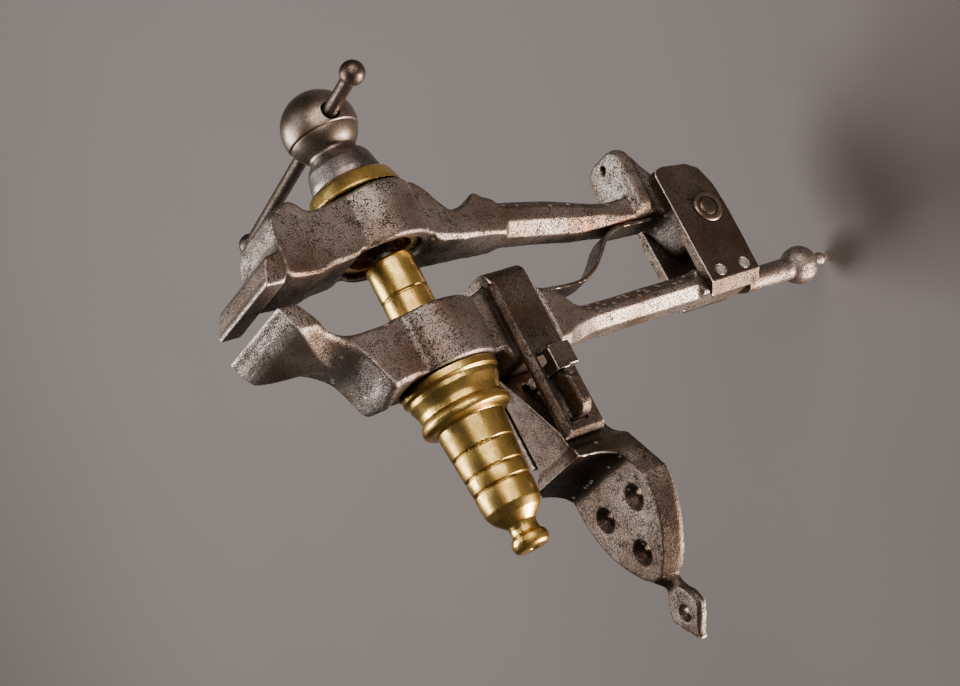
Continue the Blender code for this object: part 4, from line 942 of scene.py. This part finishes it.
block_top, block_half, foot_edge = STRAP_TOP - 0.5, STRAP_IN - 0.3, BLOCK_UNDER + 1.6
wall_top, leaf_root, finial_top = block_top + 1.2, WALL_BACK + 2.5, UNDER + FINIAL_T
rows = [                     # y, half width at the foot, at the top, top, top of the upright edge, underside
    (8.6, block_half, block_half - 0.5, block_top, foot_edge, BLOCK_UNDER),
    (STRAP_END - 3.0, block_half, block_half - 0.5, block_top, foot_edge, BLOCK_UNDER),
    (STRAP_END + 0.6, block_half, block_half - 0.5, block_top, foot_edge, BLOCK_UNDER - 1.6),
    (STRAP_END + 1.8, block_half + 0.6, block_half + 0.2, block_top, foot_edge, UNDER + 0.8),
    (WALL_BACK - 2.4, 13.4, 10.4, block_top + 0.7, UNDER + 3.0, UNDER),
    (WALL_BACK, 16.8, 12.2, wall_top, UNDER + 2.2, UNDER)]
for k in range(1, 13):
    angle = math.radians(7.5 * k)
    half = leaf_half(0.02 + 0.05 * k / 3)
    rows.append((WALL_BACK + 0.4 + FILLET * (1 - math.cos(angle)), half, half - LEAF_BEVEL,
                 LEAF_TOP + (wall_top - LEAF_TOP) * (1 - math.sin(angle)), UNDER + LEAF_EDGE, UNDER))
for k in range(15, 60):
    half = leaf_half(k / 60)
    rows.append((leaf_root + (LEAF_TIP - leaf_root) * k / 60, half, max(1.6, half - LEAF_BEVEL), LEAF_TOP,
                 UNDER + LEAF_EDGE, UNDER))
rows += between([
    (LEAF_TIP, NECK_LEAF, 1.9, LEAF_TOP - 0.4, UNDER + LEAF_EDGE, UNDER),
    (LEAF_TIP + 1.6, NECK_LEAF - 0.3, 1.5, finial_top + 1.2, UNDER + 1.8, UNDER),
    (LEAF_TIP + 3.4, 3.3, 2.6, finial_top, UNDER + 1.6, UNDER),
    (LEAF_TIP + 7.6, 6.7, 5.5, finial_top, UNDER + 1.6, UNDER),
    (LEAF_TIP + 10.4, 7.3, 6.1, finial_top, UNDER + 1.6, UNDER),
    (LEAF_TIP + 13.4, 5.3, 4.1, finial_top, UNDER + 1.6, UNDER),
    (96.5, 0.9, 0.5, finial_top - 0.3, UNDER + 1.4, UNDER)], 0.8)
NEAR_ROOT, NEAR_FLARE = 13.2, 0.57
rings = []
for y, foot, top, high, edge, low in rows:
    near_foot = min(foot, NEAR_ROOT + NEAR_FLARE * (y - WALL_BACK))
    near_top = near_foot - (foot - top) * min(1.0, max(0.12, (y - WALL_BACK) / FILLET))
    rings.append([(-near_foot, y, low), (foot, y, low), (foot, y, edge), (top, y, high), (-near_top, y, high),
                  (-near_foot, y, edge)])
bracket = lofted("iron_bench_bracket", rings)
holes = [block("bracket_slot", (-30, 12.4, SLOT_LOW), (30, 31.6, SLOT_TOP))]
screw_holes = ((-8.1, 55.2, LEAF_TOP, 3.8, 7.8), (8.1, 55.2, LEAF_TOP, 3.8, 7.8),
               (0.0, 68.7, LEAF_TOP, 3.8, 7.8), (0.0, 88.3, finial_top, 3.0, 5.0))
for number, (x, y, top, hole, sink) in enumerate(screw_holes):
    deep = (sink - hole) / 2 + 0.4
    outline = [(top + 1.0, sink / 2 + 1.0), (top, sink / 2), (top - deep, hole / 2), (UNDER - 2, hole / 2)]
    holes.append(turned("screw_hole_%d" % number, outline, "Z", (x, y, 0.0), 48))
bracket = eased(carve(bracket, holes), 0.36, 3, hammer_mm=0.16, pit_mm=0.08)
finish(bracket, fitting_iron, "frame", "forged_steel", "bench_bracket")

# %% [markdown]
# ## Cheeks, pin and rivets
# Two plates riveted to the fixed leg hold the moving leg's knuckle between them. The pin's ends
# are hammered over round washers and the rivets are filed flush.

# %% Cheeks
CHEEK_IN, CHEEK_OUT = 6.7, 10.3
for side, word, back, worn in ((-1, "left", 7.4, 3.2), (1, "right", 5.0, 1.2)):
    low, high = sorted((side * CHEEK_IN, side * CHEEK_OUT))
    outline = [(back, CHEEK_TOP), (back, CHEEK_LOW), (-16.0, CHEEK_LOW - 0.4), (-24.5, CHEEK_LOW + 0.2),
               (-30.6, CHEEK_LOW + 2.4), (-33.0, CHEEK_LOW + 6.2), (-34.0, CHEEK_TOP - 3.6),
               (-33.2, CHEEK_TOP - 0.8), (-31.4, CHEEK_TOP)]
    cheek = plate("iron_cheek_" + word, [outline], low, high, "X")
    cheek = carve(cheek, [plate("cheek_bevel", [bevel(side, CHEEK_OUT, back, worn)], CHEEK_LOW - 3,
                                CHEEK_TOP + 3, "Z")])
    holes = [turned("pin_hole_" + word, [(20, 3.3), (-20, 3.3)], "X", PIVOT, 48)]
    holes += [turned("rivet_hole_" + word, [(20, 1.72), (-20, 1.72)], "X", (0, rivet_y, z), 32)
              for z in rivet_zs]
    cheek = eased(carve(cheek, holes), 0.3, 3, hammer_mm=0.16, pit_mm=0.08)
    finish(cheek, fitting_iron, "frame", "forged_steel", "cheek_" + word)
    face = CHEEK_OUT + 0.3
    ring = [(face + 0.65, 3.15), (face + 0.7, 4.0), (face + 0.55, 4.5), (face + 0.2, 4.8), (face, 4.8),
            (face, 3.15)]
    if side < 0:
        ring = [(-s, r) for s, r in ring]
    rove = turned("iron_rove_" + word, ring, "X", PIVOT, 64, ring=True)
    finish(rove, head_steel, "frame", "turned_steel", "rove_" + word)

# %% Pin and rivets
end = CHEEK_OUT + 0.3 + 0.7 + 0.2
pin = turned("steel_pivot_pin",
             eased_outline([(end, 2.0), (end - 0.5, 3.0), (0.5 - end, 3.0), (-end, 2.0)], 0.4),
             "X", PIVOT, 64)
finish(pin, bar_steel, "frame", "turned_steel", "pivot_pin")
for word, z in zip(("upper", "lower"), rivet_zs):
    outline = [(CHEEK_OUT, 1.5), (CHEEK_OUT - 0.2, 1.68), (0.2 - CHEEK_OUT, 1.68), (-CHEEK_OUT, 1.5)]
    rivet = turned("iron_cheek_rivet_" + word, eased_outline(outline, 0.15), "X", (0, rivet_y, z), 48)
    finish(rivet, fitting_iron, "frame", "turned_steel", "cheek_rivet_" + word)
key = block("steel_box_key", (-1.1, -4.0, 5.9), (1.1, 4.4, 8.6))
mod = key.modifiers.new("eased", "BEVEL")
mod.width, mod.segments = 0.2 * MM, 2
finish(frozen(key), bar_steel, "frame", "turned_steel", "box_key")

# %% [markdown]
# ## The leaf spring
# A bent strip riveted under the fixed leg's strap seat. Its free end lies on the moving leg and
# pushes it open as the screw is slackened.

# %% Leaf spring
def beside(line, by):
    """The same run of points moved sideways."""
    out = []
    for i, (y, z) in enumerate(line):
        ahead, behind = line[min(i + 1, len(line) - 1)], line[max(i - 1, 0)]
        dy, dz = ahead[0] - behind[0], ahead[1] - behind[1]
        size = math.hypot(dy, dz)
        out.append((y - by * dz / size, z + by * dy / size))
    return out


line = [(-11.05, -35.0), (-10.5, -38.0), (-10.0, -41.0), (-9.5, -46.0), (-9.2, -51.0), (-9.8, -55.5),
        (-11.6, -59.7), (-15.0, -64.2), (-18.8, -68.2), (-21.0, -71.6), (-21.9, -75.5), (-21.7, -81.0),
        (-21.4, -88.0)]
line = [(row[1], row[0]) for row in between([(z, y) for y, z in line], 0.8)]
spring = plate("steel_leaf_spring", [beside(line, 0.55) + beside(line, -0.55)[::-1]], -4.4, 4.4, "X")
spring = carve(spring, [turned("spring_rivet_hole", [(-3.0, 1.5), (-14.6, 1.5)], at=(0, 0, -38.0), steps=24)])
finish(eased(spring, 0.25, 3, pit_mm=0.06), spring_steel, "frame", "turned_steel", "leaf_spring")
rivet = turned("steel_spring_rivet", eased_outline([(-3.4, 1.2), (-11.6, 1.2), (-11.6, 2.1), (-12.1, 1.9),
                                                    (-12.4, 1.2)], 0.15), at=(0, 0, -38.0), steps=48)
finish(rivet, spring_steel, "frame", "turned_steel", "spring_rivet")

# %% [markdown]
# ## Table and light
# A plain pale floor, and a few large soft lights. Metal is mostly what it mirrors, so the lights
# are big: one broad window from the camera's side, one long light on the bench side to draw the
# chamfers, and one from the jaws' side.

# %% Floor
floor_mesh = bpy.data.meshes.new("floor")
shape = bmesh.new()
bmesh.ops.create_grid(shape, x_segments=1, y_segments=1, size=4.0)
shape.to_mesh(floor_mesh)
shape.free()
floor = linked("floor", floor_mesh)
floor.location.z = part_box("fixed_leg")[0].z - 0.2 * MM
material, tree, shader, where = started("painted_board_matt_warm_grey")
cloud = add(tree, "ShaderNodeTexNoise", {"Vector": where, "Scale": 6.0, "Detail": 2.0}).outputs["Fac"]
tree.links.new(mixed(tree, cloud, "#69625f", "#6f6764"), shader.inputs["Base Color"])
shader.inputs["Roughness"].default_value = 0.75
shader.inputs["Specular IOR Level"].default_value = 0.2
floor_mesh.materials.append(material)
floor.visible_shadow = False

# %% Lights
def soft_light(name, towards, distance, size, power, colour="#ffffff"):
    """Square area light, aimed at the vise from a direction."""
    data = bpy.data.lights.new(name, "AREA")
    data.shape = "SQUARE"
    data.size = size
    data.energy = power
    data.color = linear(colour)[:3]
    data.cycles.use_multiple_importance_sampling = False
    lamp = bpy.data.objects.new(name, data)
    aim = Vector(towards).normalized()
    lamp.location = Vector((0.0, -0.02, 0.0)) + aim * distance
    lamp.rotation_euler = aim.to_track_quat("Z", "Y").to_euler()
    lamp.visible_camera = False
    bpy.context.scene.collection.objects.link(lamp)


soft_light("window", (-0.82, -0.3, 0.35), 0.9, 0.8, 8.5, "#fff6ee")
soft_light("bench_side_light", view_right * 0.9 - view_up * 0.42 + view_back * 0.05, 0.6, 0.30, 20.0,
           "#fff0e2")
soft_light("jaw_side_light", view_right * -0.95 - view_up * 0.2 - view_back * 0.1, 0.8, 0.40, 9.0)
soft_light("overhead", (0.1, -0.6, 1.0), 1.2, 0.8, 3.0)
world = bpy.data.worlds.new("room")
world.use_nodes = True
world.node_tree.nodes["Background"].inputs[0].default_value = linear("#857d79")
world.node_tree.nodes["Background"].inputs[1].default_value = 0.28
bpy.context.scene.world = world
print("stage set")

# %% Last import
import json
